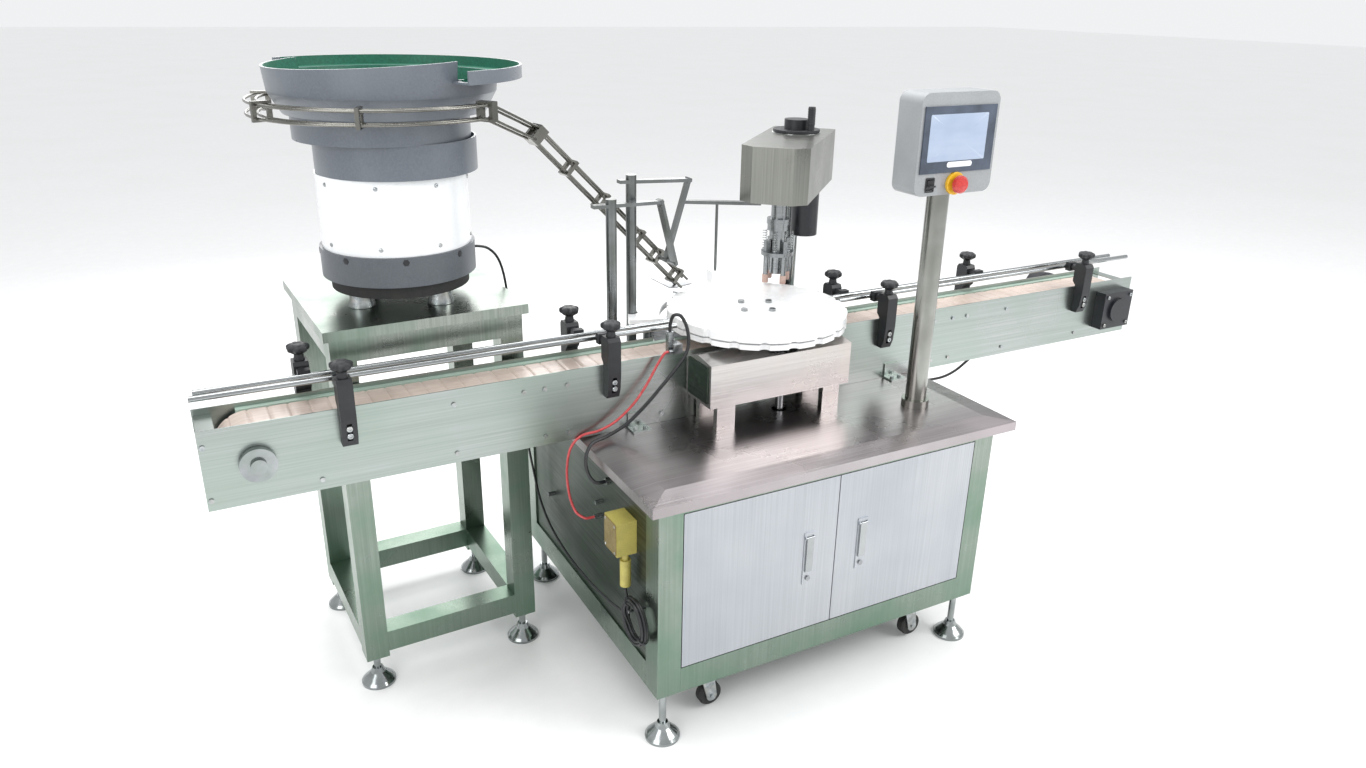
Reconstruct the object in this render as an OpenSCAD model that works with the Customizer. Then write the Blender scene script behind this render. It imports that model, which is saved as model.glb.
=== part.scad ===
// Rotary capping machine: cabinet, slat conveyor, bottle dial, capping head and vibratory cap feeder.
// Drawn in cabinet coordinates: x along the conveyor, y to the back, z up from the floor.
// in_frame() then moves each piece so that the origin is the middle of the footprint on the floor.

/* [Cabinet] */
// Width of the cabinet frame
cab_w = 890; // [740:5:1070]
// Depth of the cabinet frame
cab_d = 780; // [700:5:940]
// Height of the underside of the cabinet frame
cab_z = 127; // [115:1:155]
// Height of the tabletop
table_z = 600; // [520:5:720]
// Width of the square corner posts
post_w = 56; // [46:1:66]
// Wall of the square tubes
tube_wall = 2; // [1.5:0.5:3]
// Height of the bottom rails
rail_h = 62; // [50:1:74]
// Height of the top rails
top_rail_h = 26; // [20:1:30]
// Wall of the folded sheet
sheet_t = 2; // [1.5:0.5:3]

/* [Tabletop] */
// Height of the tabletop's rim
rim_h = 28; // [22:1:34]
// Width of the sloping border of the tabletop
bevel_w = 56; // [40:1:70]
// Fall of the sloping border
bevel_drop = 6; // [3:0.5:8]
// Overhang at the left
over_left = 17; // [10:1:30]
// Overhang at the right
over_right = 64; // [40:1:80]
// Overhang at the front
over_front = 7; // [6.5:0.5:12]
// Overhang at the back
over_back = 9; // [6:1:20]

/* [Doors] */
// Thickness of a door
door_t = 20; // [16:1:24]
// Diameter of the hinge pins
hinge_pin_d = 6; // [5:0.5:7]
// Gap around each door
door_gap = 2; // [1.6:0.2:3]
// How far a door opens, degrees
door_swing = 110; // [80:5:110]
// Length of the lock plate
lock_l = 130; // [110:1:150]
// Width of the lock plate
lock_w = 28; // [24:1:32]
// Distance from a lock's centre line to the door's free edge
lock_in = 72; // [50:1:100]
// Height of a lock's centre above the bottom of the door
lock_up = 185; // [150:1:210]

/* [Feet and casters] */
// Diameter of a levelling pad
pad_d = 78; // [60:1:90]
// Diameter of a levelling stud
stud_d = 16; // [12:1:20]
// Diameter of a caster wheel
wheel_d = 58; // [50:1:66]
// Width of a caster wheel
wheel_w = 24; // [18:1:28]
// Height of the caster wheels above the floor while the machine stands on its pads
wheel_lift = 8; // [4:1:12]
// Offset of the caster wheel behind its swivel
caster_trail = 18; // [12:1:22]

/* [Conveyor] */
// Left end of the conveyor plates
conv_x0 = -779; // [-930:5:-640]
// Right end of the conveyor plates
conv_x1 = 1760; // [1500:5:2100]
// Front face of the conveyor
conv_y = 353; // [330:1:380]
// Outer width of the conveyor
conv_w = 120; // [110:1:130]
// Height of the conveyor plates
plate_h = 166; // [150:1:185]
// Thickness of the conveyor plates
plate_t = 3; // [2:0.5:4]
// Width of the slat chain
chain_w = 82; // [76:1:84]
// Thickness of the slats
slat_t = 4; // [3:0.5:5]
// Depth of the chain's top below the plates' top edge
chain_drop = 11; // [8:1:16]
// Distance from a plate's end to the end shaft at the idler end
idler_in = 98; // [85:1:120]
// Distance from a plate's end to the end shaft at the driven end
drive_in = 85; // [80:1:120]
// Diameter of the end shafts
shaft_d = 25; // [20:1:28]

/* [Guide rails] */
// Diameter of the guide rails
rail_d = 12; // [10:1:14]
// Height of the guide rails above the tabletop
rail_up = 215; // [205:1:235]
// Clear gap between the guide rails
rail_gap = 19; // [17:1:32]
// Diameter of the bracket knobs
knob_d = 46; // [38:1:50]

/* [Bottle dial] */
// Distance of the dial's axis from the cabinet's left face
dial_x = 477.5; // [470:0.5:485]
// Radius of the dial disc
dial_r = 219; // [190:1:225]
// Thickness of the dial disc
dial_t = 20; // [16:1:24]
// Number of bottle pockets
pockets = 20; // [12:2:24]
// Diameter of the bottles
bottle_d = 25; // [20:0.5:28]
// Teeth on the dial's gear
gear_teeth = 40; // [30:2:46]
// Teeth on the drive pinion
pinion_teeth = 20; // [15:1:23]
// Module of the two gears
gear_module = 4; // [3.5:0.25:4.25]

/* [Capping head] */
// Width of the head cover
head_w = 166; // [160:1:210]
// Length of the head cover
head_l = 402; // [395:1:480]
// Height of the head cover
head_h = 133; // [110:1:160]
// Height of the head cover's underside above the tabletop
head_up = 467; // [450:1:540]
// Turn of the head about the upright
head_turn = 45; // [40:1:48]
// Working stroke of the capping spindle
stroke = 30; // [20:1:40]
// Lead of the hand wheel's screw
screw_lead = 10; // [8:1:12]

/* [Control panel] */
// Diameter of the panel's upright
hmi_post_d = 50; // [42:1:56]
// Width of the panel box
hmi_w = 221; // [215:1:260]
// Height of the panel box
hmi_h = 219; // [215:1:260]
// Depth of the panel box
hmi_d = 75; // [64:1:90]
// Height of the panel box's underside above the tabletop
hmi_up = 526; // [440:1:600]

/* [Feeder stand] */
// Distance of the feeder's axis from the cabinet's left face, negative to the left
feed_x = -310; // [-350:1:-305]
// Distance of the feeder's axis behind the cabinet's front
feed_y = 676; // [674:1:700]
// Turn of the stand on the floor
stand_turn = 2; // [0:1:6]
// Width of the stand's legs over all
stand_w = 416; // [370:1:450]
// Depth of the stand's legs over all
stand_d = 416; // [370:1:450]
// Height of the stand's frame above the floor
stand_z = 77; // [70:1:100]
// Height of the stand's top
stand_top_z = 887; // [850:1:1000]
// Width of the stand's tubes
leg_w = 52; // [40:1:60]
// Overhang of the stand's top plate
stand_over = 12; // [8:1:20]

/* [Bowl feeder] */
// Diameter of the drum
drum_d = 320; // [280:1:340]
// Height of the drum shell
drum_h = 159; // [130:1:190]
// Height of the ring under the drum
ring_h = 63; // [50:1:76]
// Height of the ring's underside above the stand
ring_up = 59; // [50:1:70]
// Radius of the bowl's lower step
bowl_r1 = 170; // [160:1:180]
// Radius of the bowl's middle step
bowl_r2 = 184; // [182:1:195]
// Radius of the bowl's rim
bowl_r3 = 240; // [225:1:246]
// Outer radius of the outlet track
track_r = 287; // [275:1:300]
// Wall of the bowl
bowl_t = 4; // [3:0.5:6]
// Radius of the cap chute's run around the bowl
chute_r = 264; // [259:1:275]
// Diameter of the chute's rods
chute_rod_d = 6; // [5:0.5:7]

/* [Hidden] */
$fn = 64;

// Colours
steel = "lightsteelblue";
bright = "silver";
black = "dimgray";
beige = "tan";
white = "whitesmoke";
grey = "slategray";

// Clearances
fit = 0.05;        // radial clearance of a running fit
seat = 0.3;        // gap at a seat between pieces that only rest together
weld = 0.2;        // gap at a butt joint between tubes

// Footprint, from the outermost pieces, and its middle
rail_x0 = conv_x0 - 1;
rail_x1 = conv_x1 + 17;
rim_x0 = -over_left;
rim_x1 = cab_w + over_right;
rim_y0 = -over_front;
rim_y1 = cab_d + over_back;
mid_x = (rail_x0 + rail_x1) / 2;
mid_y = (rim_y0 + feed_y + track_r) / 2;

// Levels
rail_top = cab_z + rail_h;
under_table = table_z - bevel_drop - 3;
door_z0 = rail_top + door_gap;
door_z1 = under_table - top_rail_h - door_gap;
door_h = door_z1 - door_z0;
door_w = (cab_w - 2 * post_w) / 2 - 1.5 * door_gap;
plate_z1 = table_z + plate_h;
chain_z = plate_z1 - chain_drop;
rail_z = table_z + rail_up;

// Doors, locks and their pivots
hinge_in = 8;
hinge_y = 5;
left_hinge_x = post_w + door_gap + hinge_in;
right_hinge_x = cab_w - left_hinge_x;
left_lock_x = post_w + door_gap + door_w - lock_in;
right_lock_x = cab_w - left_lock_x;
lock_z = door_z0 + lock_up;
lever_w = 18;
lever_t = 3.6;
lever_y = -4;
lever_z = lock_z + lock_l / 2 - 12;
lever_l = 86;
lug_pin_d = 2.4;
button_d = 12;
button_z = lock_z - lock_l / 2 + 14;
button_travel = 2.5;

// Feet and casters
foot_in = post_w / 2;
nut_h = 12;
stand_foot_in = leg_w / 2;
caster_in_x = 150;
caster_in_y = 70;
caster_axle_z = wheel_lift + wheel_d / 2;
caster_axle_d = 8;
caster_stem_d = 12;
caster_plate_t = 4;

// Conveyor
conv_mid = conv_y + conv_w / 2;
conv_yb = conv_y + conv_w;
turn_r = (plate_h - 28) / 2 + 2;
shaft_z = chain_z - turn_r;
idler_x = conv_x0 + idler_in;
drive_x = conv_x1 - drive_in;
top_screw_xs = [-771, -297, -145, -98, -46, 1000, 1062, 1112, 1257];
low_screw_xs = [-771, -569, -297, -100, -46, 185, 1000, 1060, 1257, 1546];
back_screw_xs = [-771, -660, 1000, 1257, 1546];
screw_top = 33;
screw_low = 22;
spacer_xs = [-569, -297, -98, 60, 870, 1060, 1257, 1546];
spacer_d = 20;
foot_xs = [98, 840];
back_foot_xs = [20, 840];

// Guide rails and brackets
near_rail_y = conv_mid - (rail_gap + rail_d) / 2;
far_rail_y = conv_mid + (rail_gap + rail_d) / 2;
near_xs = [-511, 55, 823, 1533];
far_xs = [-569, 15, 752, 1216];
rail_end_gap = 14;
knob_z = rail_z + 20;

// Dial
dial_y = conv_mid + 5.5;
pocket_circle = dial_r + 4;
disc_z = table_z + 204;
star_z = disc_z - 16;
star_t = 12;
slide_z = chain_z;
slide_t = 6;
slide_r = 255;
bridge_t = 8;
bridge_z = plate_z1;
gear_z = bridge_z + bridge_t + seat;
gear_h = 11;
pitch_r = gear_module * gear_teeth / 2;
pinion_r = gear_module * pinion_teeth / 2;
pinion_y = dial_y - pitch_r - pinion_r;
pin_shaft_d = 20;
dial_stud_d = 30;
guide_z = disc_z - 14;
guide_inner = pocket_circle + bottle_d / 2 + 1.5;
guide_outer = 313;
rear_outer = 284;
guide_posts = [[284, 129], [272, 145]];
guide_post_d = 16;
index_top = table_z - 110;

// Capping head: station on the pocket circle and the head's own axes
head_angle = 45;
chuck_x = dial_x + pocket_circle * cos(head_angle);
chuck_y = dial_y + pocket_circle * sin(head_angle);
head_nose = 189;
head_left = 67;
chuck_tip = disc_z + 26;
head_z = table_z + head_up;
column_u = 114;
column_v = -12;
column_d = 38;
motor_u = 71;
motor_v = -54;
motor_d = 70;
motor_l = 122;
quill_d = 40;
quill_drop = 84;
arm_z = 28;
arm_t = 12;
yoke_z = arm_z + arm_t + stroke + 3;
wheel_shaft_d = 22;
// End of the hand wheel's shaft below its bearing plate, clear of the carriage at full stroke
shaft_stub = 1;
screw_d = 12;
wheel_r = 60;

// Panel
post_x = 790;
post_y = 170;
hmi_x = post_x - hmi_w / 2;
hmi_y = 127;
hmi_z = table_z + hmi_up;
screen_w = 203;
screen_h = 142;
screen_z = hmi_z + 49;
stop_z = hmi_z + 24;
stop_x = post_x + 2;
rocker_x = post_x - 68;

// Feeder
stand_gap = 2.7;
stand_y = conv_yb + stand_gap + stand_d / 2 * cos(stand_turn) + stand_w / 2 * sin(stand_turn);
ring_z = stand_top_z + ring_up;
drum_z = ring_z + ring_h;
bowl_z = drum_z + drum_h + seat;
bowl_h1 = 69;
bowl_h2 = 53;
bowl_h3 = 105;
step1_off = [12, -6];
step2_off = [-10, 6];
track_a0 = -69;
track_a = 200;
chute_z = bowl_z + 136;
chute_dx = 11;
chute_dz = 13;
clamp_at = [0.2, 0.41, 0.66, 0.8, 0.95];
chute_a0 = 150;
chute_a1 = 305;
knee = [-20, 563, chute_z - 65];
chute_angle = 117;
chute_end = [dial_x + (pocket_circle + 3) * cos(chute_angle), dial_y + (pocket_circle + 3) * sin(chute_angle), disc_z + 44];

chute_post_d = 25;
post_a = [138, 520];
post_b = [207.5, 560];
tie_end = [562, 568, head_z - 25];

// Cord routes
sensor_route = [[205, 352, 821], [205, 350, 840], [209, 342, 860], [221, 330, 860], [230, 319, 836],
  [231, 311, 804], [222, 308, 775], [198, 308, 746], [162, 309, 708], [120, 311, 666], [75, 313, 630],
  [28, 311, 612], [-12, 302, 606], [-34, 286, 582], [-38, 266, 556], [-31, 251, 541], [-20, 245, 538],
  [-7, 245, 538]];
tube_route = [[194, 338, 777], [184, 338, 774], [166, 336, 752], [140, 334, 712], [112, 333, 676],
  [84, 333, 650], [54, 335, 629], [20, 340, 615], [-18, 348, 607], [-44, 350, 580], [-56, 344, 530],
  [-58, 328, 478], [-52, 308, 444], [-38, 292, 432], [-26, 290, 430], [-15, 290, 430]];
motor_route = [[1624, 570, 684], [1610, 570, 683], [1590, 562, 672], [1565, 542, 650], [1535, 515, 632],
  [1490, 498, 618], [1435, 492, 604], [1380, 490, 586], [1330, 490, 562], [1280, 490, 534],
  [1235, 490, 508], [1190, 490, 495], [1140, 490, 494], [1080, 490, 500], [1020, 490, 508],
  [960, 490, 515], [915, 490, 517], [887, 490, 517]];
feeder_route = [[-143, 676, 978], [-130, 676, 978], [-106, 676, 970], [-84, 678, 945], [-70, 680, 900],
  [-60, 683, 820], [-50, 686, 720], [-42, 688, 620], [-34, 688, 520], [-26, 686, 440], [-18, 678, 370],
  [-14, 655, 310], [-14, 610, 274], [-14, 550, 250], [-14, 480, 238], [-14, 400, 234], [-14, 320, 238],
  [-15, 250, 248], [-17, 190, 260], [-18, 150, 271], [-19, 126, 280]];
plug_route = [[-18, 118, 351], [-18, 118, 344], [-18, 115, 334], [-19, 110, 326]];
sensor_cable_d = 8;
air_tube_d = 6;
motor_cable_d = 8;
feeder_cable_d = 6;
coil_pos = [-19, 70, 288];
coil_mid_r = 45;
coil_bundle_d = 24;
coil_hook_d = 7;

// Placing and drawing helpers
module in_frame() { translate([-mid_x, -mid_y, 0]) children(); }
module box(lo, hi) { translate(lo) cube(hi - lo); }
module along_x(x0, x1) { translate([x0, 0, 0]) rotate([90, 0, 90]) linear_extrude(x1 - x0) children(); }
module along_y(y0, y1) { translate([0, y1, 0]) rotate([90, 0, 0]) linear_extrude(y1 - y0) children(); }
module rod(p, q, d) {
  v = q - p;
  translate(p) rotate([0, acos(v[2] / norm(v)), atan2(v[1], v[0])]) cylinder(d = d, h = norm(v));
}
module disc(p, d, h) { translate(p) cylinder(d = d, h = h); }
module tube_x(lo, hi) {
  difference() {
    box(lo, hi);
    box(lo + [-1, tube_wall, tube_wall], hi + [1, -tube_wall, -tube_wall]);
  }
}
module tube_y(lo, hi) {
  difference() {
    box(lo, hi);
    box(lo + [tube_wall, -1, tube_wall], hi + [-tube_wall, 1, -tube_wall]);
  }
}
module leg(lo, hi) {
  difference() {
    box(lo, hi);
    box(lo + [tube_wall, tube_wall, 2 * tube_wall], hi + [-tube_wall, -tube_wall, 1]);
  }
}
module rounded(w, h, r) {
  translate([r, 0]) square([w - 2 * r, h]);
  translate([0, r]) square([w, h - 2 * r]);
  for (x = [r, w - r], y = [r, h - r]) translate([x, y]) circle(r);
}
// A tube of round section swept along a list of points: rings joined into one closed surface
function unit(v) = v / norm(v);
function heading(p, i) = unit(p[min(i + 1, len(p) - 1)] - p[max(i - 1, 0)]);
function side_of(t) = unit(cross(t, abs(t[2]) > 0.8 ? [1, 0, 0] : [0, 0, 1]));
function carried(p, i, s) = unit(s - (s * heading(p, i)) * heading(p, i));
function sides(p, i = 0, s = undef) =
  i == len(p) ? [] :
  let (n = is_undef(s) ? side_of(heading(p, 0)) : carried(p, i, s)) concat([n], sides(p, i + 1, n));
function smooth(p, k) = [
  for (i = [0 : len(p) - 2]) for (j = [0 : k - 1])
    let (a = p[max(i - 1, 0)], b = p[i], c = p[i + 1], d = p[min(i + 2, len(p) - 1)], t = j / k)
      0.5 * (2 * b + (c - a) * t + (2 * a - 5 * b + 4 * c - d) * t * t + (3 * b - a - 3 * c + d) * t * t * t),
  p[len(p) - 1]
];
module cord(route, d, n = 8, k = 3) {
  p = smooth(route, k);
  s = sides(p);
  last = len(p) - 1;
  points = [
    for (i = [0 : last]) let (t = heading(p, i), u = s[i], v = cross(t, u))
      for (j = [0 : n - 1]) p[i] + d / 2 * (cos(360 * j / n) * u + sin(360 * j / n) * v)
  ];
  faces = concat(
    [[for (j = [n - 1 : -1 : 0]) j]],
    [for (i = [0 : last - 1]) for (j = [0 : n - 1])
      [i * n + j, i * n + (j + 1) % n, (i + 1) * n + (j + 1) % n]],
    [for (i = [0 : last - 1]) for (j = [0 : n - 1])
      [i * n + j, (i + 1) * n + (j + 1) % n, (i + 1) * n + j]],
    [[for (j = [0 : n - 1]) last * n + j]]
  );
  polyhedron(points, [for (f = faces) [for (i = [len(f) - 1 : -1 : 0]) f[i]]]);
}

// Cabinet
module table_form(inset, z0) {
  slope_z = table_z - bevel_drop - inset;
  intersection() {
    along_y(rim_y0 + inset, rim_y1 - inset) polygon([
      [rim_x0 + inset, z0], [rim_x1 - inset, z0], [rim_x1 - inset, slope_z],
      [rim_x1 - bevel_w, table_z - inset], [rim_x0 + bevel_w, table_z - inset], [rim_x0 + inset, slope_z]
    ]);
    along_x(rim_x0 + inset, rim_x1 - inset) polygon([
      [rim_y0 + inset, z0], [rim_y1 - inset, z0], [rim_y1 - inset, slope_z],
      [rim_y1 - bevel_w, table_z - inset], [rim_y0 + bevel_w, table_z - inset], [rim_y0 + inset, slope_z]
    ]);
  }
}
module posts() {
  for (x = [0, cab_w - post_w], y = [0, cab_d - post_w])
    leg([x, y, cab_z], [x + post_w, y + post_w, table_z]);
}
module hinge_pins() {
  for (x = [left_hinge_x, right_hinge_x]) {
    disc([x, hinge_y, rail_top - 1], hinge_pin_d, door_gap + 13);
    disc([x, hinge_y, door_z1 - 12], hinge_pin_d, door_gap + 13);
  }
}
module cabinet_frame() {
  x1 = cab_w - post_w;
  y1 = cab_d - post_w;
  side_d = 40;
  color(steel) in_frame() {
    intersection() {
      posts();
      table_form(sheet_t + seat, 0);
    }
    for (y = [0, cab_d - side_d]) {
      tube_x([post_w + weld, y, cab_z], [x1 - weld, y + side_d, rail_top]);
      tube_x([post_w + weld, y, door_z1 + door_gap], [x1 - weld, y + side_d, under_table]);
    }
    for (x = [0, cab_w - side_d]) {
      tube_y([x, post_w + weld, cab_z], [x + side_d, y1 - weld, rail_top]);
      tube_y([x, post_w + weld, door_z1 + door_gap], [x + side_d, y1 - weld, under_table]);
    }
    hinge_pins();
    for (x = [caster_in_x, cab_w - caster_in_x], y = [caster_in_y, cab_d - caster_in_y])
      difference() {
        box([x - 38, y - 32, cab_z - caster_plate_t - weld], [x + 38, y + 32, cab_z - weld]);
        disc([x, y, cab_z - 10], caster_stem_d + 2 * fit, 20);
      }
  }
}
module tabletop() {
  color(steel) in_frame() difference() {
    table_form(0, table_z - rim_h);
    table_form(sheet_t, table_z - rim_h - 1);
    disc([dial_x, pinion_y, table_z - 20], pin_shaft_d + 16, 40);
  }
}
module cabinet_panels() {
  in_x = 4;
  z0 = rail_top + weld;
  z1 = door_z1 + door_gap - weld;
  color(steel) in_frame() {
    for (x = [in_x, cab_w - in_x - sheet_t])
      box([x, post_w + weld, z0], [x + sheet_t, cab_d - post_w - weld, z1]);
    box([post_w + weld, cab_d - in_x - sheet_t, z0], [cab_w - post_w - weld, cab_d - in_x, z1]);
    difference() {
      box([40 + seat, 40 + seat, rail_top - 2], [cab_w - 40 - seat, cab_d - 40 - seat, rail_top]);
      for (x = [0, cab_w - post_w - 1], y = [0, cab_d - post_w - 1])
        box([x, y, rail_top - 9], [x + post_w + 1, y + post_w + 1, rail_top + 9]);
    }
  }
}
module foot(x, y, top) {
  translate([x, y, 0]) {
    rotate_extrude() polygon([[0, 0], [pad_d / 2, 0], [pad_d / 2, 6], [pad_d / 2 - 5, 12],
      [stud_d / 2 + 9, 28], [stud_d / 2 + 4, 40], [0, 40]]);
    cylinder(d = stud_d, h = top);
    translate([0, 0, top - nut_h]) cylinder(d = stud_d * 1.7, h = nut_h, $fn = 6);
  }
}
module on_stand() { translate([feed_x, stand_y, 0]) rotate([0, 0, stand_turn]) children(); }
module levelling_feet() {
  sx = stand_w / 2 - stand_foot_in;
  sy = stand_d / 2 - stand_foot_in;
  color(bright) in_frame() {
    for (x = [foot_in, cab_w - foot_in], y = [foot_in, cab_d - foot_in]) foot(x, y, cab_z);
    on_stand() for (x = [-sx, sx], y = [-sy, sy]) foot(x, y, stand_z);
  }
}

// Doors, drawn for the left side and mirrored for the right
module door_body() {
  x0 = post_w + door_gap;
  x1 = x0 + door_w;
  bush = 2 * hinge_in;
  difference() {
    union() {
      difference() {
        box([x0, 0, door_z0], [x1, door_t, door_z1]);
        box([x0 + sheet_t, sheet_t, door_z0 + sheet_t], [x1 - sheet_t, door_t + 1, door_z1 - sheet_t]);
      }
      for (z = [door_z0, door_z1 - 16]) box([x0, 0, z], [x0 + bush, hinge_y + 7, z + 16]);
      lock_plate();
    }
    for (z = [door_z0 - 1, door_z1 - 13]) disc([left_hinge_x, hinge_y, z], hinge_pin_d + 2 * fit, 14);
    rod([left_lock_x, -10, button_z], [left_lock_x, 20, button_z], button_d + 2 * fit);
  }
}
module lock_plate() {
  box([left_lock_x - lock_w / 2, -2, lock_z - lock_l / 2], [left_lock_x + lock_w / 2, 0.5, lock_z + lock_l / 2]);
  for (s = [-1, 1]) translate([left_lock_x + s * (lever_w / 2 + 1.8), 0, lever_z]) {
    box([-1.5, lever_y, -4], [1.5, 0, 4]);
    rod([-1.5, lever_y, 0], [1.5, lever_y, 0], lever_t);
  }
  rod([left_lock_x - lever_w / 2 - 1, lever_y, lever_z], [left_lock_x + lever_w / 2 + 1, lever_y, lever_z],
      lug_pin_d);
}
module lock_lever() {
  x0 = left_lock_x - lever_w / 2;
  x1 = left_lock_x + lever_w / 2;
  difference() {
    union() {
      box([x0, lever_y - lever_t / 2, lever_z - lever_l], [x1, lever_y + lever_t / 2, lever_z]);
      rod([x0, lever_y, lever_z], [x1, lever_y, lever_z], lever_t);
    }
    rod([x0 - 1, lever_y, lever_z], [x1 + 1, lever_y, lever_z], lug_pin_d + 2 * fit);
  }
}
module lock_button() {
  rod([left_lock_x, -5, button_z], [left_lock_x, 12, button_z], button_d);
}
module to_right() { translate([cab_w, 0, 0]) mirror([1, 0, 0]) children(); }
module left_door() { color(steel) in_frame() door_body(); }
module right_door() { color(steel) in_frame() to_right() door_body(); }
module left_lock_lever() { color(bright) in_frame() lock_lever(); }
module right_lock_lever() { color(bright) in_frame() to_right() lock_lever(); }
module left_lock_button() { color(black) in_frame() lock_button(); }
module right_lock_button() { color(black) in_frame() to_right() lock_button(); }

// Casters
module caster_fork(x, y) {
  top = cab_z - weld - caster_plate_t - seat;
  fork_t = 3;
  inner = wheel_w / 2 + 2;
  color(bright) in_frame() translate([x, y, 0]) {
    disc([0, 0, top - 1], caster_stem_d, caster_plate_t + 3);
    disc([0, 0, top - 10], 44, 10);
    for (s = [-1, 1]) difference() {
      translate([0, s * (inner + fork_t / 2), 0]) union() {
        along_y(-fork_t / 2, fork_t / 2)
          polygon([[-16, top - 6], [20, top - 6], [caster_trail + 13, caster_axle_z], [caster_trail - 13, caster_axle_z]]);
        rod([caster_trail, -fork_t / 2, caster_axle_z], [caster_trail, fork_t / 2, caster_axle_z], 26);
      }
    }
    rod([caster_trail, -inner - fork_t - 3, caster_axle_z], [caster_trail, inner + fork_t + 3, caster_axle_z],
        caster_axle_d);
  }
}
module caster_wheel(x, y) {
  color(black) in_frame() translate([x + caster_trail, y, caster_axle_z]) rotate([90, 0, 0]) difference() {
    rotate_extrude() polygon([[0, -wheel_w / 2], [wheel_d / 2 - 4, -wheel_w / 2], [wheel_d / 2, 4 - wheel_w / 2],
      [wheel_d / 2, wheel_w / 2 - 4], [wheel_d / 2 - 4, wheel_w / 2], [0, wheel_w / 2]]);
    disc([0, 0, -wheel_w], caster_axle_d + 2 * fit, 2 * wheel_w);
  }
}
module caster_fork_front_left() { caster_fork(caster_in_x, caster_in_y); }
module caster_fork_front_right() { caster_fork(cab_w - caster_in_x, caster_in_y); }
module caster_fork_back_left() { caster_fork(caster_in_x, cab_d - caster_in_y); }
module caster_fork_back_right() { caster_fork(cab_w - caster_in_x, cab_d - caster_in_y); }
module caster_wheel_front_left() { caster_wheel(caster_in_x, caster_in_y); }
module caster_wheel_front_right() { caster_wheel(cab_w - caster_in_x, caster_in_y); }
module caster_wheel_back_left() { caster_wheel(caster_in_x, cab_d - caster_in_y); }
module caster_wheel_back_right() { caster_wheel(cab_w - caster_in_x, cab_d - caster_in_y); }

// Conveyor
module conveyor_frame() {
  notch = sqrt(slide_r * slide_r - pow(conv_yb - dial_y, 2)) + 6;
  color(steel) in_frame() {
    for (y = [conv_y, conv_yb - plate_t]) difference() {
      box([conv_x0, y, table_z + seat], [conv_x1, y + plate_t, plate_z1]);
      for (x = [idler_x, drive_x]) rod([x, y - 1, shaft_z], [x, y + plate_t + 1, shaft_z], shaft_d + 2 * fit);
      if (y > conv_y) box([dial_x - notch, y - 1, slide_z - slide_t], [dial_x + notch, y + 9, plate_z1 + 1]);
    }
    for (x = spacer_xs)
      rod([x, conv_y + plate_t + weld, shaft_z], [x, conv_yb - plate_t - weld, shaft_z], spacer_d);
    for (x = [conv_x0 + 2, conv_x1 - 34])
      box([x, conv_y + plate_t + weld, chain_z - 4], [x + 32, conv_yb - plate_t - weld, chain_z - 2]);
    for (x = foot_xs) angle_foot(x);
    for (x = back_foot_xs) translate([0, 2 * conv_mid, 0]) mirror([0, 1, 0]) angle_foot(x);
  }
}
module angle_foot(x) {
  box([x, conv_y - 4 - weld, table_z], [x + 46, conv_y - weld, table_z + 38]);
  box([x, conv_y - 36, table_z], [x + 46, conv_y - weld, table_z + 4]);
}
module face_screw(x, z) { rod([x, conv_y - 3 - weld, z], [x, conv_y - weld, z], 10); }
module conveyor_screws() {
  color(bright) in_frame() {
    for (x = low_screw_xs) face_screw(x, table_z + screw_low);
    for (x = top_screw_xs) face_screw(x, plate_z1 - screw_top);
    for (x = back_screw_xs, z = [table_z + screw_low, plate_z1 - screw_top])
      translate([0, 2 * conv_mid, 0]) mirror([0, 1, 0]) face_screw(x, z);
    for (x = foot_xs, dx = [11, 35]) disc([x + dx, conv_y - 22, table_z + 4 + weld], 10, 5);
  }
}
module stadium(r) {
  for (x = [idler_x, drive_x]) translate([x, shaft_z]) circle(r);
  translate([idler_x, shaft_z - r]) square([drive_x - idler_x, 2 * r]);
}
module slat_chain() {
  color(beige) in_frame() along_y(conv_mid - chain_w / 2, conv_mid + chain_w / 2) difference() {
    stadium(turn_r);
    stadium(turn_r - slat_t);
  }
}
module wear_strips() {
  h = 14;
  y0 = conv_y + plate_t + weld;
  y1 = conv_mid - chain_w / 2 - 2;
  color(beige) in_frame() {
    for (m = [0, 1]) translate([0, m * 2 * conv_mid, 0]) mirror([0, m, 0]) {
      box([idler_x - 20, y0, chain_z - h], [drive_x + 20, y1, chain_z + 2]);
      box([idler_x + 4, conv_mid - 28, chain_z - slat_t - h], [drive_x - 4, conv_mid - 14, chain_z - slat_t - seat]);
    }
  }
}
module sprocket(x) {
  r = turn_r - slat_t - 0.5;
  difference() {
    rod([x, conv_mid - 11, shaft_z], [x, conv_mid + 11, shaft_z], 2 * r);
    for (a = [0 : 30 : 330]) translate([x, 0, shaft_z]) rotate([0, a, 0])
      rod([r + 4, conv_mid - 12, 0], [r + 4, conv_mid + 12, 0], 24);
  }
}
module drive_sprocket() {
  color(bright) in_frame() {
    sprocket(drive_x);
    rod([drive_x, conv_y - 20, shaft_z], [drive_x, conv_yb + 40, shaft_z], shaft_d);
  }
}
module idler_sprocket() {
  color(bright) in_frame() {
    sprocket(idler_x);
    rod([idler_x, conv_y - 14, shaft_z], [idler_x, conv_yb + 10, shaft_z], shaft_d);
    rod([idler_x, conv_y - 16, shaft_z], [idler_x, conv_y - 2, shaft_z], 69);
    rod([idler_x, conv_y - 24, shaft_z], [idler_x, conv_y - 16, shaft_z], 30);
  }
}
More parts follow.
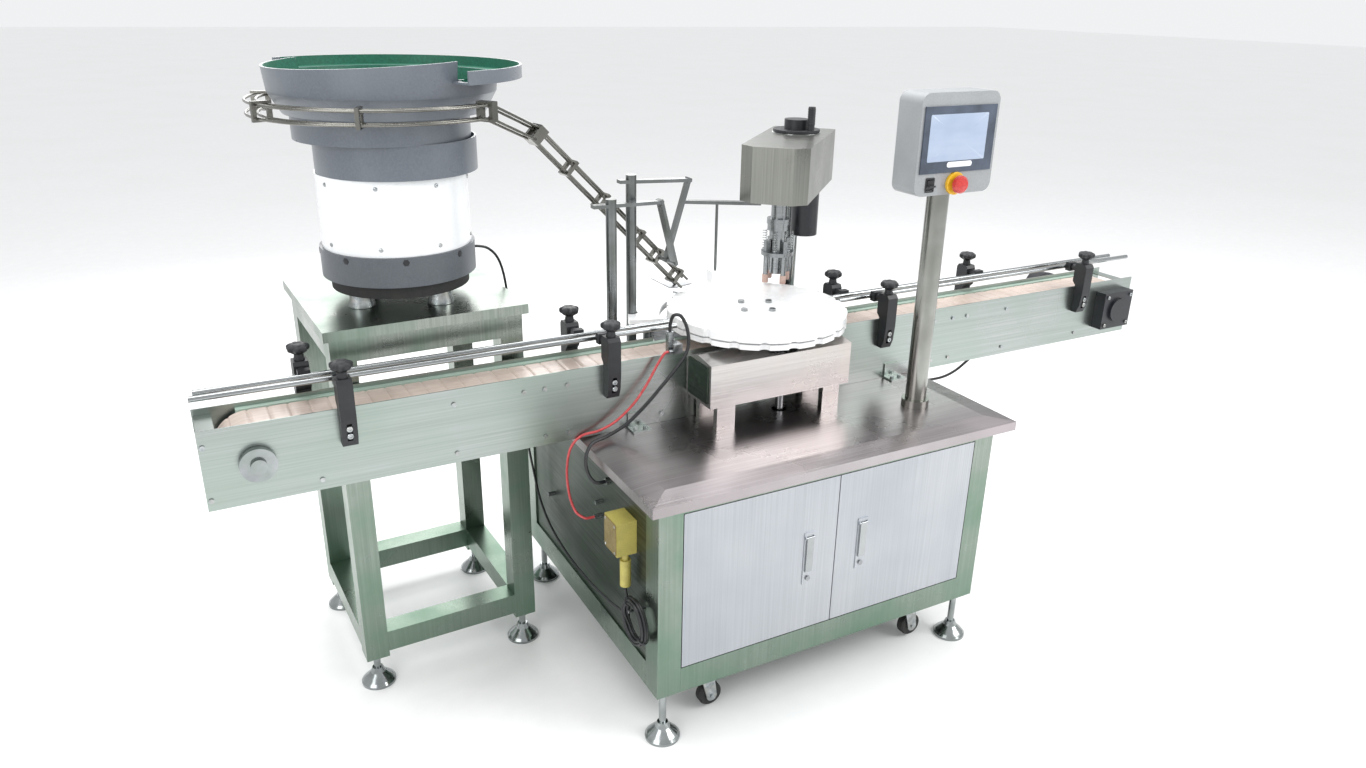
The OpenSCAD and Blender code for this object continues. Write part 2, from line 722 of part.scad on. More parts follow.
module gear_motor() {
  gap = weld;
  color(black) in_frame() {
    difference() {
      union() {
        box([drive_x - 58, conv_y - 34, shaft_z - 54], [drive_x + 58, conv_y - gap, shaft_z + 54]);
        rod([drive_x, conv_y - 42, shaft_z], [drive_x, conv_y - 33, shaft_z], 70);
      }
      rod([drive_x, conv_y - 24, shaft_z], [drive_x, conv_y + 1, shaft_z], shaft_d + 2 * fit);
    }
    difference() {
      union() {
        box([drive_x - 45, conv_yb + gap, shaft_z - 45], [drive_x + 45, conv_yb + 62, shaft_z + 45]);
        rod([drive_x, conv_yb + 60, shaft_z], [drive_x, conv_yb + 165, shaft_z], 86);
      }
      rod([drive_x, conv_yb - 1, shaft_z], [drive_x, conv_yb + 44, shaft_z], shaft_d + 2 * fit);
    }
  }
}

// Guide rails
module rail_run(y, x0, x1) { rod([x0, y, rail_z], [x1, y, rail_z], rail_d); }
module guide_rails() {
  left_end = dial_x - dial_r - rail_end_gap;
  right_end = dial_x + dial_r + rail_end_gap;
  color(bright) in_frame() {
    rail_run(near_rail_y, rail_x0, left_end);
    rail_run(near_rail_y, right_end, rail_x1);
    rail_run(far_rail_y, rail_x0 + 9, left_end);
    rail_run(far_rail_y, right_end, rail_x1 - 40);
  }
}
module bracket(reach) {
  w = 30;
  arm_z = rail_z - table_z;
  difference() {
    union() {
      along_x(-w / 2, w / 2) polygon([[-0.2, 92], [-18, 92], [-26, 112], [-30, 150], [-30, arm_z + 10], [-24, arm_z + 18],
        [6, arm_z + 18], [10, arm_z + 10], [10, plate_h + 14], [-0.2, plate_h + 4]]);
      rod([0, 0, arm_z], [0, reach - rail_d / 2 - 4, arm_z], 18);
      box([-12, reach - 16, arm_z - 12], [12, reach + 1, arm_z + 12]);
    }
    rod([-20, reach, arm_z], [20, reach, arm_z], rail_d + 2 * fit);
    box([-5, -40, 104], [5, -10, 142]);
  }
}
module at_brackets() {
  for (x = near_xs) translate([x, conv_y, table_z]) children(0);
  for (x = far_xs) translate([x, conv_yb, table_z]) mirror([0, 1, 0]) children(1);
}
module guide_brackets() {
  color(black) in_frame() at_brackets() {
    bracket(near_rail_y - conv_y);
    bracket(conv_yb - far_rail_y);
  }
}
module knob() {
  translate([0, -10, rail_z - table_z + 18 + weld]) rotate_extrude() polygon([[0, 0], [11, 0], [9, 12],
    [knob_d / 2 - 4, 18], [knob_d / 2, 22], [knob_d / 2, 28], [knob_d / 2 - 5, 33], [0, 34]]);
}
module guide_knobs() {
  color(black) in_frame() at_brackets() {
    knob();
    knob();
  }
}

// Bottle dial
module at_dial() { translate([dial_x, dial_y, 0]) children(); }
module sector(r0, r1, z, h, a0, a1) {
  translate([0, 0, z]) rotate([0, 0, a0]) rotate_extrude(angle = a1 - a0) translate([r0, 0]) square([r1 - r0, h]);
}
module dial_base() {
  back = conv_yb - dial_y - plate_t - weld;
  leg_angles = [50, 90, 130];
  color(steel) in_frame() at_dial() {
    difference() {
      disc([0, 0, slide_z - slide_t + seat], 2 * slide_r, slide_t - seat);
      box([-300, -300, 0], [300, back, 2000]);
    }
    for (a = leg_angles) rotate([0, 0, a]) disc([slide_r - 40, 0, table_z], 25, slide_z - slide_t + 1 - table_z);
    for (x = [-62, 62]) box([x - 10, back + 2, slide_z - 1], [x + 10, back + 22, bridge_z + 1]);
    box([-72, conv_y - dial_y, bridge_z], [72, back + 22, bridge_z + bridge_t]);
    disc([0, 0, bridge_z + bridge_t - 1], dial_stud_d, disc_z - bridge_z - bridge_t - 1);
    sector(guide_inner, rear_outer, guide_z + 6, 6, 22, 108);
    for (a = [32, 62, 92]) rotate([0, 0, a]) disc([rear_outer - 11, 0, table_z], guide_post_d, guide_z + 7 - table_z);
    for (p = guide_posts) rotate([0, 0, p[1]]) disc([p[0], 0, table_z], guide_post_d, guide_z - weld - table_z);
  }
}
module pocket_cuts(r, z, h) {
  for (i = [0 : pockets - 1]) rotate([0, 0, head_angle + 360 * i / pockets]) disc([pocket_circle, 0, z], 2 * r, h);
}
module dial_disc() {
  color(white) in_frame() at_dial() {
    difference() {
      disc([0, 0, disc_z], 2 * dial_r, dial_t);
      pocket_cuts(9.5, disc_z - 1, dial_t + 2);
    }
    difference() {
      disc([0, 0, star_z], 2 * dial_r, star_t);
      pocket_cuts(bottle_d / 2 + 0.5, star_z - 1, star_t + 2);
      disc([0, 0, star_z - 1], 60 + 2 * weld, star_t + 2);
    }
  }
}
module gear_outline(teeth) {
  r = gear_module * teeth / 2;
  tip = 0.22 * 360 / teeth / 2;
  root = 0.52 * 360 / teeth / 2;
  circle(r - 1.1 * gear_module, $fn = 96);
  for (i = [0 : teeth - 1]) rotate(360 * i / teeth) polygon([
    [(r - 1.3 * gear_module) * cos(root), -(r - 1.3 * gear_module) * sin(root)],
    [(r + 0.8 * gear_module) * cos(tip), -(r + 0.8 * gear_module) * sin(tip)],
    [(r + 0.8 * gear_module) * cos(tip), (r + 0.8 * gear_module) * sin(tip)],
    [(r - 1.3 * gear_module) * cos(root), (r - 1.3 * gear_module) * sin(root)]
  ]);
}
module dial_hub() {
  color(bright) in_frame() at_dial() {
    difference() {
      union() {
        translate([0, 0, gear_z]) linear_extrude(gear_h) rotate(90 + 180 / gear_teeth) gear_outline(gear_teeth);
        disc([0, 0, gear_z + gear_h - 1], 60, disc_z - gear_z - gear_h + 1 - weld);
        disc([0, 0, star_z + star_t + weld], 120, disc_z - star_z - star_t - 2 * weld);
      }
      disc([0, 0, gear_z - 1], dial_stud_d + 2 * fit, disc_z);
    }
    for (a = [0 : 90 : 270]) rotate([0, 0, 20 + a]) disc([48, 0, disc_z + dial_t + weld], 16, 6);
  }
}
module drive_pinion() {
  color(bright) in_frame() translate([dial_x, pinion_y, 0]) {
    translate([0, 0, gear_z]) linear_extrude(gear_h) rotate(90) gear_outline(pinion_teeth);
    disc([0, 0, index_top - 40], pin_shaft_d, gear_z - index_top + 41);
  }
}
module index_drive() {
  w = 80;
  z0 = rail_top + seat;
  color(grey) in_frame() translate([dial_x, pinion_y, 0]) difference() {
    union() {
      box([-w, -w, z0], [w, w, index_top]);
      rod([w - 1, 0, index_top - 90], [w + 190, 0, index_top - 90], 110);
      box([w + 30, -50, z0], [w + 160, 50, index_top - 120]);
    }
    disc([0, 0, index_top - 42], pin_shaft_d + 2 * fit, 60);
  }
}
module gear_cover() {
  x0 = dial_x - 225;
  x1 = dial_x + 160;
  z0 = table_z + 60;
  z1 = bridge_z + 5;
  y0 = conv_y - 110;
  y1 = conv_y - seat;
  color(steel) in_frame() {
    difference() {
      along_x(x0, x1) polygon([[y0, z0], [y1, z0], [y1, z1 - 14], [y0 + 62, z1], [y0, z1 - 8]]);
      along_x(x0 + sheet_t, x1 - sheet_t) polygon([[y0 + 2, z0 - 1], [y1 - 2, z0 - 1], [y1 - 2, z1 - 16],
        [y0 + 62, z1 - 2], [y0 + 2, z1 - 10]]);
      disc([dial_x, pinion_y, z1 - 30], pin_shaft_d + 8, 60);
    }
    for (x = [x0 + 22, x1 - 70], y = [y0 + 6, y1 - 22]) box([x, y, table_z], [x + 48, y + 16, z0 - weld]);
  }
}
module outer_guide() {
  color(white) in_frame() difference() {
    at_dial() sector(guide_inner, guide_outer, guide_z, 15, 112, 164);
    disc([post_b[0], post_b[1], guide_z - 1], chute_post_d + 6, 17);
  }
  color(white) in_frame() box([dial_x - 44, dial_y + pocket_circle - 80, disc_z + 44],
      [dial_x - 12, dial_y + pocket_circle - 52, disc_z + 76 - seat]);
}

// Stop gate at the dial's entry
gate_x = 216;
gate_z = table_z + plate_h + 16;
module gate_cylinder() {
  color(bright) in_frame() {
    difference() {
      union() {
        box([gate_x - 11, conv_y - 22, gate_z - 11], [gate_x + 11, conv_y + 18, gate_z + 11]);
        box([gate_x - 11, conv_y - 0.2, table_z + plate_h + 0.2], [gate_x + 11, conv_y + 10, gate_z]);
      }
      rod([gate_x, conv_y - 16, gate_z], [gate_x, conv_y + 19, gate_z], 8 + 2 * fit);
    }
    rod([gate_x - 21, conv_y - 15, gate_z - 5], [gate_x - 10, conv_y - 15, gate_z - 5], 9);
    box([198, conv_y - 8, plate_z1 + weld], [211, conv_y + 6, plate_z1 + 54]);
    for (p = [[290, 430], [284, 469], [585, 345]]) rod([-14.5, p[0], p[1]], [4 - weld, p[0], p[1]], 11);
    rod([-34, 70, coil_pos[2] + coil_mid_r - coil_bundle_d / 2 - coil_hook_d / 2 - seat],
        [4 - weld, 70, coil_pos[2] + coil_mid_r - coil_bundle_d / 2 - coil_hook_d / 2 - seat], coil_hook_d);
    rod([-6, 245, 538], [4 - weld, 245, 538], 16);
  }
}
module gate_rod() {
  color(bright) in_frame() rod([gate_x, conv_y - 15, gate_z], [gate_x, conv_y + 24, gate_z], 8);
}

// Capping head, drawn along its own axis with the chuck's axis at its origin
module at_head() { translate([chuck_x, chuck_y, 0]) rotate([0, 0, head_turn]) children(); }
module head_plan(inset) {
  y0 = head_left - head_w + inset;
  y1 = head_left - inset;
  x0 = -head_nose + inset;
  x1 = head_l - head_nose - inset;
  polygon([[x0, y0 + 33], [x0 + 27, y0], [x1, y0], [x1, y1], [x0 + 27, y1], [x0, y1 - 33]]);
}
module head_column() {
  color(bright) in_frame() at_head() {
    disc([column_u, column_v, table_z + weld], column_d, head_z + 18 - table_z);
    disc([column_u, column_v, table_z + weld], 84, 12);
    difference() {
      union() {
        translate([0, 0, head_z]) linear_extrude(10) head_plan(sheet_t + seat);
        disc([0, 0, head_z], 64, 27);
      }
      disc([0, 0, head_z - 1], quill_d + 2 * fit, 30);
    }
    translate([column_u, column_v, head_z]) difference() {
      box([-18, -50, 9], [18, 50, yoke_z + 14]);
      box([-19, -38, 8], [19, 38, yoke_z]);
      disc([0, 0, yoke_z - 1], wheel_shaft_d + 2 * fit, 16);
    }
  }
}
module head_cover() {
  color(steel) in_frame() at_head() difference() {
    translate([0, 0, head_z]) linear_extrude(head_h) head_plan(0);
    translate([0, 0, head_z - 1]) linear_extrude(head_h - sheet_t + 1) head_plan(sheet_t);
    disc([column_u, column_v, head_z + head_h - 10], 2 * wheel_r - 20, 20);
  }
}
module head_motor() {
  color(black) in_frame() at_head()
    disc([motor_u, motor_v, head_z - motor_l], motor_d, motor_l - weld);
}
module spindle_quill() {
  color(bright) in_frame() at_head() difference() {
    union() {
      disc([0, 0, head_z - quill_drop], quill_d, quill_drop + arm_z + arm_t);
      disc([0, 0, head_z - quill_drop], 60, 14);
      box([0, column_v - 17, head_z + arm_z], [column_u + 17, 17, head_z + arm_z + arm_t]);
    }
    disc([0, 0, head_z - quill_drop - 1], 20 + 2 * fit, 40);
    disc([column_u, column_v, head_z], screw_d + 2 * fit, 80);
  }
}
module capping_chuck() {
  top = head_z - quill_drop - seat;
  body_z = chuck_tip + 78;
  color(bright) in_frame() at_head() {
    disc([0, 0, top - 1], 20, 34);
    disc([0, 0, top - 16], 56, 16);
    disc([0, 0, body_z], 44, top - 16 - body_z + 1);
    disc([0, 0, body_z - 6], 84, 10);
    for (a = [45 : 90 : 315]) rotate([0, 0, a]) {
      disc([33, 0, chuck_tip], 13, body_z - chuck_tip);
      box([24, -6, body_z + 3], [38, 6, body_z + 34]);
    }
    disc([0, 0, chuck_tip + 22], 34, body_z - chuck_tip - 24);
  }
}
module hand_wheel() {
  top = head_z + head_h;
  color(black) in_frame() at_head() translate([column_u, column_v, 0]) {
    disc([0, 0, head_z + yoke_z - shaft_stub], wheel_shaft_d, head_h - yoke_z + 4 + shaft_stub);
    disc([0, 0, head_z + 20], screw_d, yoke_z - 18);
    disc([0, 0, top + 2], 2 * wheel_r, 6);
    disc([0, 0, top + 7], 64, 26);
    rotate([0, 0, -120]) disc([wheel_r - 12, 0, top + 7], 18, 60);
  }
}

// Cap chute: four rods in a square cage with clamp plates
function around(a, r, z) = [feed_x + r * cos(a), feed_y + r * sin(a), z];
leave = around(chute_a1, chute_r, chute_z);
module rod_corners() {
  for (s = [-1, 1], t = [-1, 1]) translate([0, s * chute_dx, t * chute_dz]) children();
}
module aim(p, q) {
  v = q - p;
  translate(p) rotate([0, atan2(-v[2], norm([v[0], v[1]])), atan2(v[1], v[0])]) children();
}
module chute_run(p, q) {
  aim(p, q) rod_corners() rod([-5, 0, 0], [norm(q - p) + 5, 0, 0], chute_rod_d);
}
module clamp(half = 4) {
  difference() {
    box([-half, -20, -20], [half, 20, 20]);
    box([-half - 1, -chute_dx, -chute_dz], [half + 1, chute_dx, chute_dz]);
  }
}
module cap_chute() {
  color(bright) in_frame() {
    for (s = [-1, 1], t = [-1, 1]) translate([feed_x, feed_y, chute_z + t * chute_dz]) rotate([0, 0, chute_a0])
      rotate_extrude(angle = chute_a1 - chute_a0) translate([chute_r + s * chute_dx, 0]) circle(d = chute_rod_d);
    chute_run(leave, knee);
    chute_run(knee, chute_end);
    for (a = [chute_a0 + 1, 196, 247]) translate(around(a, chute_r, chute_z)) rotate([0, 0, a + 90]) clamp();
    translate(around(chute_a1, chute_r, chute_z)) rotate([0, 0, chute_a1 + 90]) clamp(9);
    aim(knee, chute_end) clamp(12);
    for (f = clamp_at) aim(along_chute(f), chute_end) clamp();
  }
}
function along_chute(f) = knee + f * (chute_end - knee);
module flat_bar(p, q) { aim(p, q) box([-6, -10, -4], [norm(q - p) + 6, 10, 4]); }
module stub(f, l) { aim(along_chute(f), chute_end) rod([0, -20 - seat, 0], [0, -l, 0], 12); }
module chute_supports() {
  top_a = 1094;
  top_b = 1138;
  bend_a = [263, 520, top_a - 16];
  low_a = along_chute(clamp_at[3]) + [11, -80, 0];
  bend_b = [358, 560, top_b - 22];
  low_b = along_chute(clamp_at[3]) + [6, -46, 0];
  tie = bend_b + [-8, 2, -52];
  probe = [dial_x - 28, dial_y + pocket_circle - 66];
  color(bright) in_frame() {
    for (p = [[post_a, top_a], [post_b, top_b]]) {
      disc([p[0][0], p[0][1], table_z + weld], chute_post_d, p[1] - table_z);
      disc([p[0][0], p[0][1], table_z + weld], 52, 8);
    }
    flat_bar([post_a[0] - 40, post_a[1], top_a - 14], bend_a);
    flat_bar(bend_a, low_a);
    flat_bar([post_b[0] - 26, post_b[1], top_b - 14], bend_b);
    flat_bar(bend_b, low_b);
    stub(clamp_at[3], 88);
    flat_bar(tie, tie_end);
    disc(tie_end - [0, 0, 3], 12, head_z - tie_end[2] + 3 - seat);
    disc([probe[0], probe[1], disc_z + 76], 7, tie_end[2] - disc_z - 64);
  }
}

// Feeder stand
module stand_frame() {
  x = stand_w / 2;
  y = stand_d / 2;
  top = stand_top_z - 22;
  low = stand_z + 14;
  color(steel) in_frame() on_stand() {
    for (sx = [-x, x - leg_w], sy = [-y, y - leg_w]) leg([sx, sy, stand_z], [sx + leg_w, sy + leg_w, top - weld]);
    for (z = [low, top - leg_w - weld]) {
      for (sy = [-y, y - leg_w]) tube_x([-x + leg_w + weld, sy, z], [x - leg_w - weld, sy + leg_w, z + leg_w]);
      for (sx = [-x, x - leg_w]) tube_y([sx, -y + leg_w + weld, z], [sx + leg_w, y - leg_w - weld, z + leg_w]);
    }
    box([-x - stand_over, -y - stand_over, top], [x + stand_over, y + stand_over, stand_top_z]);
  }
}
module at_feeder() { translate([feed_x, feed_y, 0]) children(); }
module feeder_base() {
  color(grey) in_frame() at_feeder() {
    disc([0, 0, ring_z], drum_d + 12, ring_h);
    disc([0, 0, stand_top_z + 30], drum_d - 24, ring_up - 29);
    for (a = [30 : 90 : 300]) rotate([0, 0, a])
      translate([drum_d / 2 - 42, 0, stand_top_z + seat]) cylinder(d1 = 56, d2 = 44, h = 31);
  }
}
module drum_shell() {
  color(white) in_frame() at_feeder() difference() {
    disc([0, 0, drum_z + weld], drum_d, drum_h - weld);
    disc([0, 0, drum_z - 1], drum_d - 6, drum_h - 4);
  }
}
module ring_wall(off, r, z, h) {
  translate([off[0], off[1], z]) difference() {
    cylinder(r = r, h = h);
    translate([0, 0, bowl_t]) cylinder(r = r - bowl_t, h = h);
  }
}
module feeder_bowl() {
  z2 = bowl_z + bowl_h1;
  z3 = z2 + bowl_h2;
  rim = z3 + bowl_h3;
  color(grey) in_frame() at_feeder() {
    ring_wall(step1_off, bowl_r1, bowl_z, bowl_h1 + 1);
    difference() {
      ring_wall(step2_off, bowl_r2, z2, bowl_h2 + 1);
      disc([0, 0, z2 - 1], 2 * bowl_r1 - 44, bowl_t + 2);
    }
    difference() {
      translate([0, 0, z3]) rotate_extrude() polygon([[bowl_r2 - 34, 0], [208, 0], [232, 42], [bowl_r3, bowl_h3 + 12],
        [bowl_r3 - bowl_t, bowl_h3 + 12], [228, 44], [205, bowl_t], [bowl_r2 - 34, bowl_t]]);
      translate([0, 0, rim]) rotate([0, -3, 0]) box([-400, -400, 0], [400, 400, 100]);
      translate([0, 0, rim - 30]) rotate([0, 0, track_a0 + 3]) rotate_extrude(angle = track_a - 6)
        translate([bowl_r3 - 14, 0]) square([30, 80]);
    }
    translate([0, 0, rim - 36]) rotate([0, 0, track_a0]) rotate_extrude(angle = track_a)
      polygon([[bowl_r3 - 7, 0], [track_r, 0], [track_r, 26], [track_r - bowl_t, 26], [track_r - bowl_t, bowl_t],
        [bowl_r3 - 7, bowl_t]]);
    translate([step1_off[0], step1_off[1], bowl_z + 1]) cylinder(r1 = 120, r2 = 10, h = 34);
  }
}

// Control panel
module panel_post() {
  color(steel) in_frame() translate([post_x, post_y, 0]) {
    difference() {
      disc([0, 0, table_z + weld], hmi_post_d, hmi_z - table_z - 2 * weld);
      disc([0, 0, table_z + 6], hmi_post_d - 4, hmi_z - table_z);
    }
    disc([0, 0, table_z + weld], hmi_post_d + 16, 20);
  }
}
module panel_box() {
  r = 22;
  color(steel) in_frame() {
    difference() {
      translate([hmi_x, 0, hmi_z]) along_y(hmi_y, hmi_y + hmi_d) rounded(hmi_w, hmi_h, r);
      translate([hmi_x + 2, 0, hmi_z + 2]) along_y(hmi_y + 2, hmi_y + hmi_d - 2) rounded(hmi_w - 4, hmi_h - 4, r - 2);
      box([post_x - screen_w / 2 + 2, hmi_y - 1, screen_z + 2], [post_x + screen_w / 2 - 2, hmi_y + 3, screen_z + screen_h - 2]);
      rod([stop_x, hmi_y - 9, stop_z], [stop_x, hmi_y + 9, stop_z], 16 + 2 * fit);
      box([rocker_x - 9.3, hmi_y - 5, stop_z - 12.3], [rocker_x + 9.3, hmi_y + 5, stop_z + 12.3]);
      disc([post_x, post_y, hmi_z - 1], hmi_post_d - 8, 4);
    }
    difference() {
      rod([stop_x, hmi_y - 7, stop_z], [stop_x, hmi_y - weld, stop_z], 46);
      rod([stop_x, hmi_y - 9, stop_z], [stop_x, hmi_y + 9, stop_z], 16 + 2 * fit);
    }
  }
}
module touch_screen() {
  color(grey) in_frame()
    box([post_x - screen_w / 2, hmi_y - 3 - weld, screen_z], [post_x + screen_w / 2, hmi_y - weld, screen_z + screen_h]);
}
module stop_button() {
  color("red") in_frame() {
    rod([stop_x, hmi_y - 14, stop_z], [stop_x, hmi_y + 14, stop_z], 16);
    translate([stop_x, hmi_y - 13, stop_z]) rotate([90, 0, 0]) rotate_extrude()
      polygon([[0, 0], [17, 0], [20, 4], [19, 12], [14, 17], [0, 19]]);
  }
}
module rocker_switch() {
  half = 11;
  color(black) in_frame() translate([rocker_x, hmi_y, stop_z]) rotate([10, 0, 0]) difference() {
    rod([-8.8, 0, 0], [8.8, 0, 0], 2 * half);
    box([-12, 3, -15], [12, 15, 15]);
    for (a = [10, -10]) rotate([a, 0, 0]) translate([0, -3, 0]) box([-12, -15, a > 0 ? -15 : 0], [12, 0, a > 0 ? 0 : 15]);
  }
}

// Left side: junction box and cords
module junction_box() {
  color("gold") in_frame() {
    box([-42, 108, 430], [4 - weld, 170, 508]);
    disc([-18, 118, 414], 14, 17);
    disc([-18, 118, 352], 24, 63);
  }
}
module sensor_cable() { color(black) in_frame() cord(sensor_route, sensor_cable_d); }
module air_tube() { color("firebrick") in_frame() cord(tube_route, air_tube_d); }
module motor_cable() { color(black) in_frame() cord(motor_route, motor_cable_d); }
module feeder_cable() {
  color(black) in_frame() {
    cord(feeder_route, feeder_cable_d);
    cord(plug_route, feeder_cable_d);
  }
}
module cable_coil() {
  color(black) in_frame() {
    translate(coil_pos) rotate([0, 90, 0]) rotate_extrude() translate([coil_mid_r, 0]) circle(d = coil_bundle_d);
  }
}

cabinet_frame();
tabletop();
cabinet_panels();
levelling_feet();
left_door();
right_door();
left_lock_lever();
right_lock_lever();
left_lock_button();
right_lock_button();
caster_fork_front_left();
caster_fork_front_right();
caster_fork_back_left();
caster_fork_back_right();
caster_wheel_front_left();
caster_wheel_front_right();
caster_wheel_back_left();
caster_wheel_back_right();
conveyor_frame();
conveyor_screws();
slat_chain();
wear_strips();
drive_sprocket();
idler_sprocket();
gear_motor();
guide_rails();
guide_brackets();
guide_knobs();
dial_base();
dial_disc();
dial_hub();
drive_pinion();
index_drive();
gear_cover();
outer_guide();
gate_cylinder();
gate_rod();
head_column();
head_cover();
head_motor();
spindle_quill();
capping_chuck();
hand_wheel();
cap_chute();
chute_supports();
stand_frame();
feeder_base();
drum_shell();
feeder_bowl();
panel_post();
panel_box();
touch_screen();
stop_button();
rocker_switch();
junction_box();
sensor_cable();
air_tube();
motor_cable();
feeder_cable();
cable_coil();
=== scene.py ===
import math
import bmesh
import bpy
import numpy as np
from mathutils import Matrix, Vector


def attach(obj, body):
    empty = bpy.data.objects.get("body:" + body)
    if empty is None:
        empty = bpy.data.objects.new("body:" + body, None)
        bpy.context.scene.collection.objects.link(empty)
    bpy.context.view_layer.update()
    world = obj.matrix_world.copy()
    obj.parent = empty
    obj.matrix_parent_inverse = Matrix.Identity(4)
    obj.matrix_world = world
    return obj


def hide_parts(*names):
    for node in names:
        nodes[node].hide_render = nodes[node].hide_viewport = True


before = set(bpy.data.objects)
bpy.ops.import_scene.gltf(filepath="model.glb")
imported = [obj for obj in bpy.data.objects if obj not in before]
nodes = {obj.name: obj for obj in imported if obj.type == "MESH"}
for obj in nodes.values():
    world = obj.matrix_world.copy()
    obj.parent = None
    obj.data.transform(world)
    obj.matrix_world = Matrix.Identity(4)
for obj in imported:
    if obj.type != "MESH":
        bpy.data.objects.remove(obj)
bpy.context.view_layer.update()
print("stage: frame loaded,", len(nodes), "nodes")

# Offset from the cabinet's own coordinates, in millimetres, to the row frame
cabinetOrigin = np.array([498.5, 478.0, 0.0])


# place: p -> (p - origin) / 1000, from cabinet millimetres to metres
def place(points):
    return (np.asarray(points, float) - cabinetOrigin) / 1000.0


# Camera, in front and to the left, looking a little down
view = {
    "position": (-1.2783, -1.9946, 1.5352),
    "right": (0.8807, -0.4733, 0.0171),
    "up": (0.1615, 0.3340, 0.9286),
    "forward": (0.4453, 0.8151, -0.3706),
    "lens": 25.97,
}


def makeCamera():
    data = bpy.data.cameras.new("viewCamera")
    data.sensor_width = 36.0
    data.lens = view["lens"]
    camera = bpy.data.objects.new("viewCamera", data)
    bpy.context.scene.collection.objects.link(camera)
    r, u, f = view["right"], view["up"], view["forward"]
    columns = [(r[i], u[i], -f[i], view["position"][i]) for i in range(3)]
    camera.matrix_world = Matrix([*columns, (0, 0, 0, 1)])
    bpy.context.scene.camera = camera


makeCamera()


# sRGB hex to linear: below 0.04045 c / 12.92, above ((c + 0.055) / 1.055) ^ 2.4
def hexColour(text):
    parts = [int(text[i:i + 2], 16) / 255 for i in (1, 3, 5)]
    return (*[c / 12.92 if c <= 0.04045 else ((c + 0.055) / 1.055) ** 2.4 for c in parts], 1.0)


# Adds a node, sets its properties and sockets, and links what is given to it
def addNode(tree, kind, settings=None, links=None):
    node = tree.nodes.new(kind)
    for key, value in (settings or {}).items():
        if isinstance(key, str) and hasattr(node, key):
            setattr(node, key, value)
        else:
            node.inputs[key].default_value = value
    for key, source in (links or {}).items():
        tree.links.new(source, node.inputs[key])
    return node


# The mix node's colour sockets: both inputs and the result
mixA, mixB, mixResult = 6, 7, 2


# blendColour: a + (b - a) f, from a colour socket towards an sRGB hex
def blendColour(tree, factor, colour, towards):
    mix = addNode(tree, "ShaderNodeMix", {"data_type": "RGBA"}, {"Factor": factor, mixA: colour})
    mix.inputs[mixB].default_value = hexColour(towards)
    return mix.outputs[mixResult]


# rampOf: stop i at low + (high - low) i / (n - 1), one for each of the n colours
def rampOf(tree, source, colours, low=0.3, high=0.7):
    ramp = addNode(tree, "ShaderNodeValToRGB", links={"Fac": source})
    stops = ramp.color_ramp.elements
    for i in range(len(colours) - 2):
        stops.new(0.5)
    for i, colour in enumerate(colours):
        stops[i].position = low + (high - low) * i / (len(colours) - 1)
        stops[i].color = hexColour(colour)
    return ramp.outputs["Color"]


# A surface with a fine pattern, broad patches and, where given, a painted floor reflection: a tint that fades
# in towards the floor.
# grain is the pattern's size in millimetres along x, y and z. A long grain with a short one across it is a
# brushed or rolled surface; equal sizes are a moulded or sprayed one.
def surface(name, colours, grain, roughness, metallic=0.0, bump=0.0, patch=180.0, patchColour=None,
            patchAmount=0.3, floorReflection=None, reflectionTop=0.55, reflectionLow=0.0, detail=3.0, **sockets):
    material = bpy.data.materials.new(name)
    material.use_nodes = True
    tree = material.node_tree
    tree.nodes.clear()
    coords = addNode(tree, "ShaderNodeTexCoord").outputs["Object"]
    mapped = addNode(tree, "ShaderNodeMapping", {"Scale": [1000.0 / g for g in grain]}, {"Vector": coords})
    fine = addNode(tree, "ShaderNodeTexNoise", {"Scale": 1.0, "Detail": detail, "Roughness": 0.6},
                   {"Vector": mapped.outputs["Vector"]})
    broad = addNode(tree, "ShaderNodeTexNoise", {"Scale": 1000.0 / patch, "Detail": 4.0, "Roughness": 0.55},
                    {"Vector": coords})
    colour = rampOf(tree, fine.outputs["Fac"], colours)
    if patchColour:
        amount = addNode(tree, "ShaderNodeMapRange", {"From Min": 0.42, "From Max": 0.68, "To Min": 0.0,
                                                      "To Max": patchAmount}, {"Value": broad.outputs["Fac"]})
        colour = blendColour(tree, amount.outputs["Result"], colour, patchColour)
    # painted reflection: the floor's colour blended in, stronger towards the floor
    if floorReflection:
        height = addNode(tree, "ShaderNodeSeparateXYZ", links={"Vector": coords}).outputs["Z"]
        fade = addNode(tree, "ShaderNodeMapRange", {"From Min": reflectionTop, "From Max": reflectionLow, "To Min": 0.0,
                                                    "To Max": 0.8}, {"Value": height})
        colour = blendColour(tree, fade.outputs["Result"], colour, floorReflection)
    lowRough, highRough = roughness
    rough = addNode(tree, "ShaderNodeMapRange", {"From Min": 0.3, "From Max": 0.7, "To Min": lowRough,
                                                 "To Max": highRough}, {"Value": broad.outputs["Fac"]})
    shader = addNode(tree, "ShaderNodeBsdfPrincipled", {"Metallic": metallic, **sockets},
                     {"Base Color": colour, "Roughness": rough.outputs["Result"]})
    if bump:
        relief = addNode(tree, "ShaderNodeBump", {"Strength": 0.35, "Distance": bump / 1000.0},
                         {"Height": fine.outputs["Fac"]})
        tree.links.new(relief.outputs["Normal"], shader.inputs["Normal"])
    addNode(tree, "ShaderNodeOutputMaterial", links={"Surface": shader.outputs["BSDF"]})
    return material


print("stage: materials")
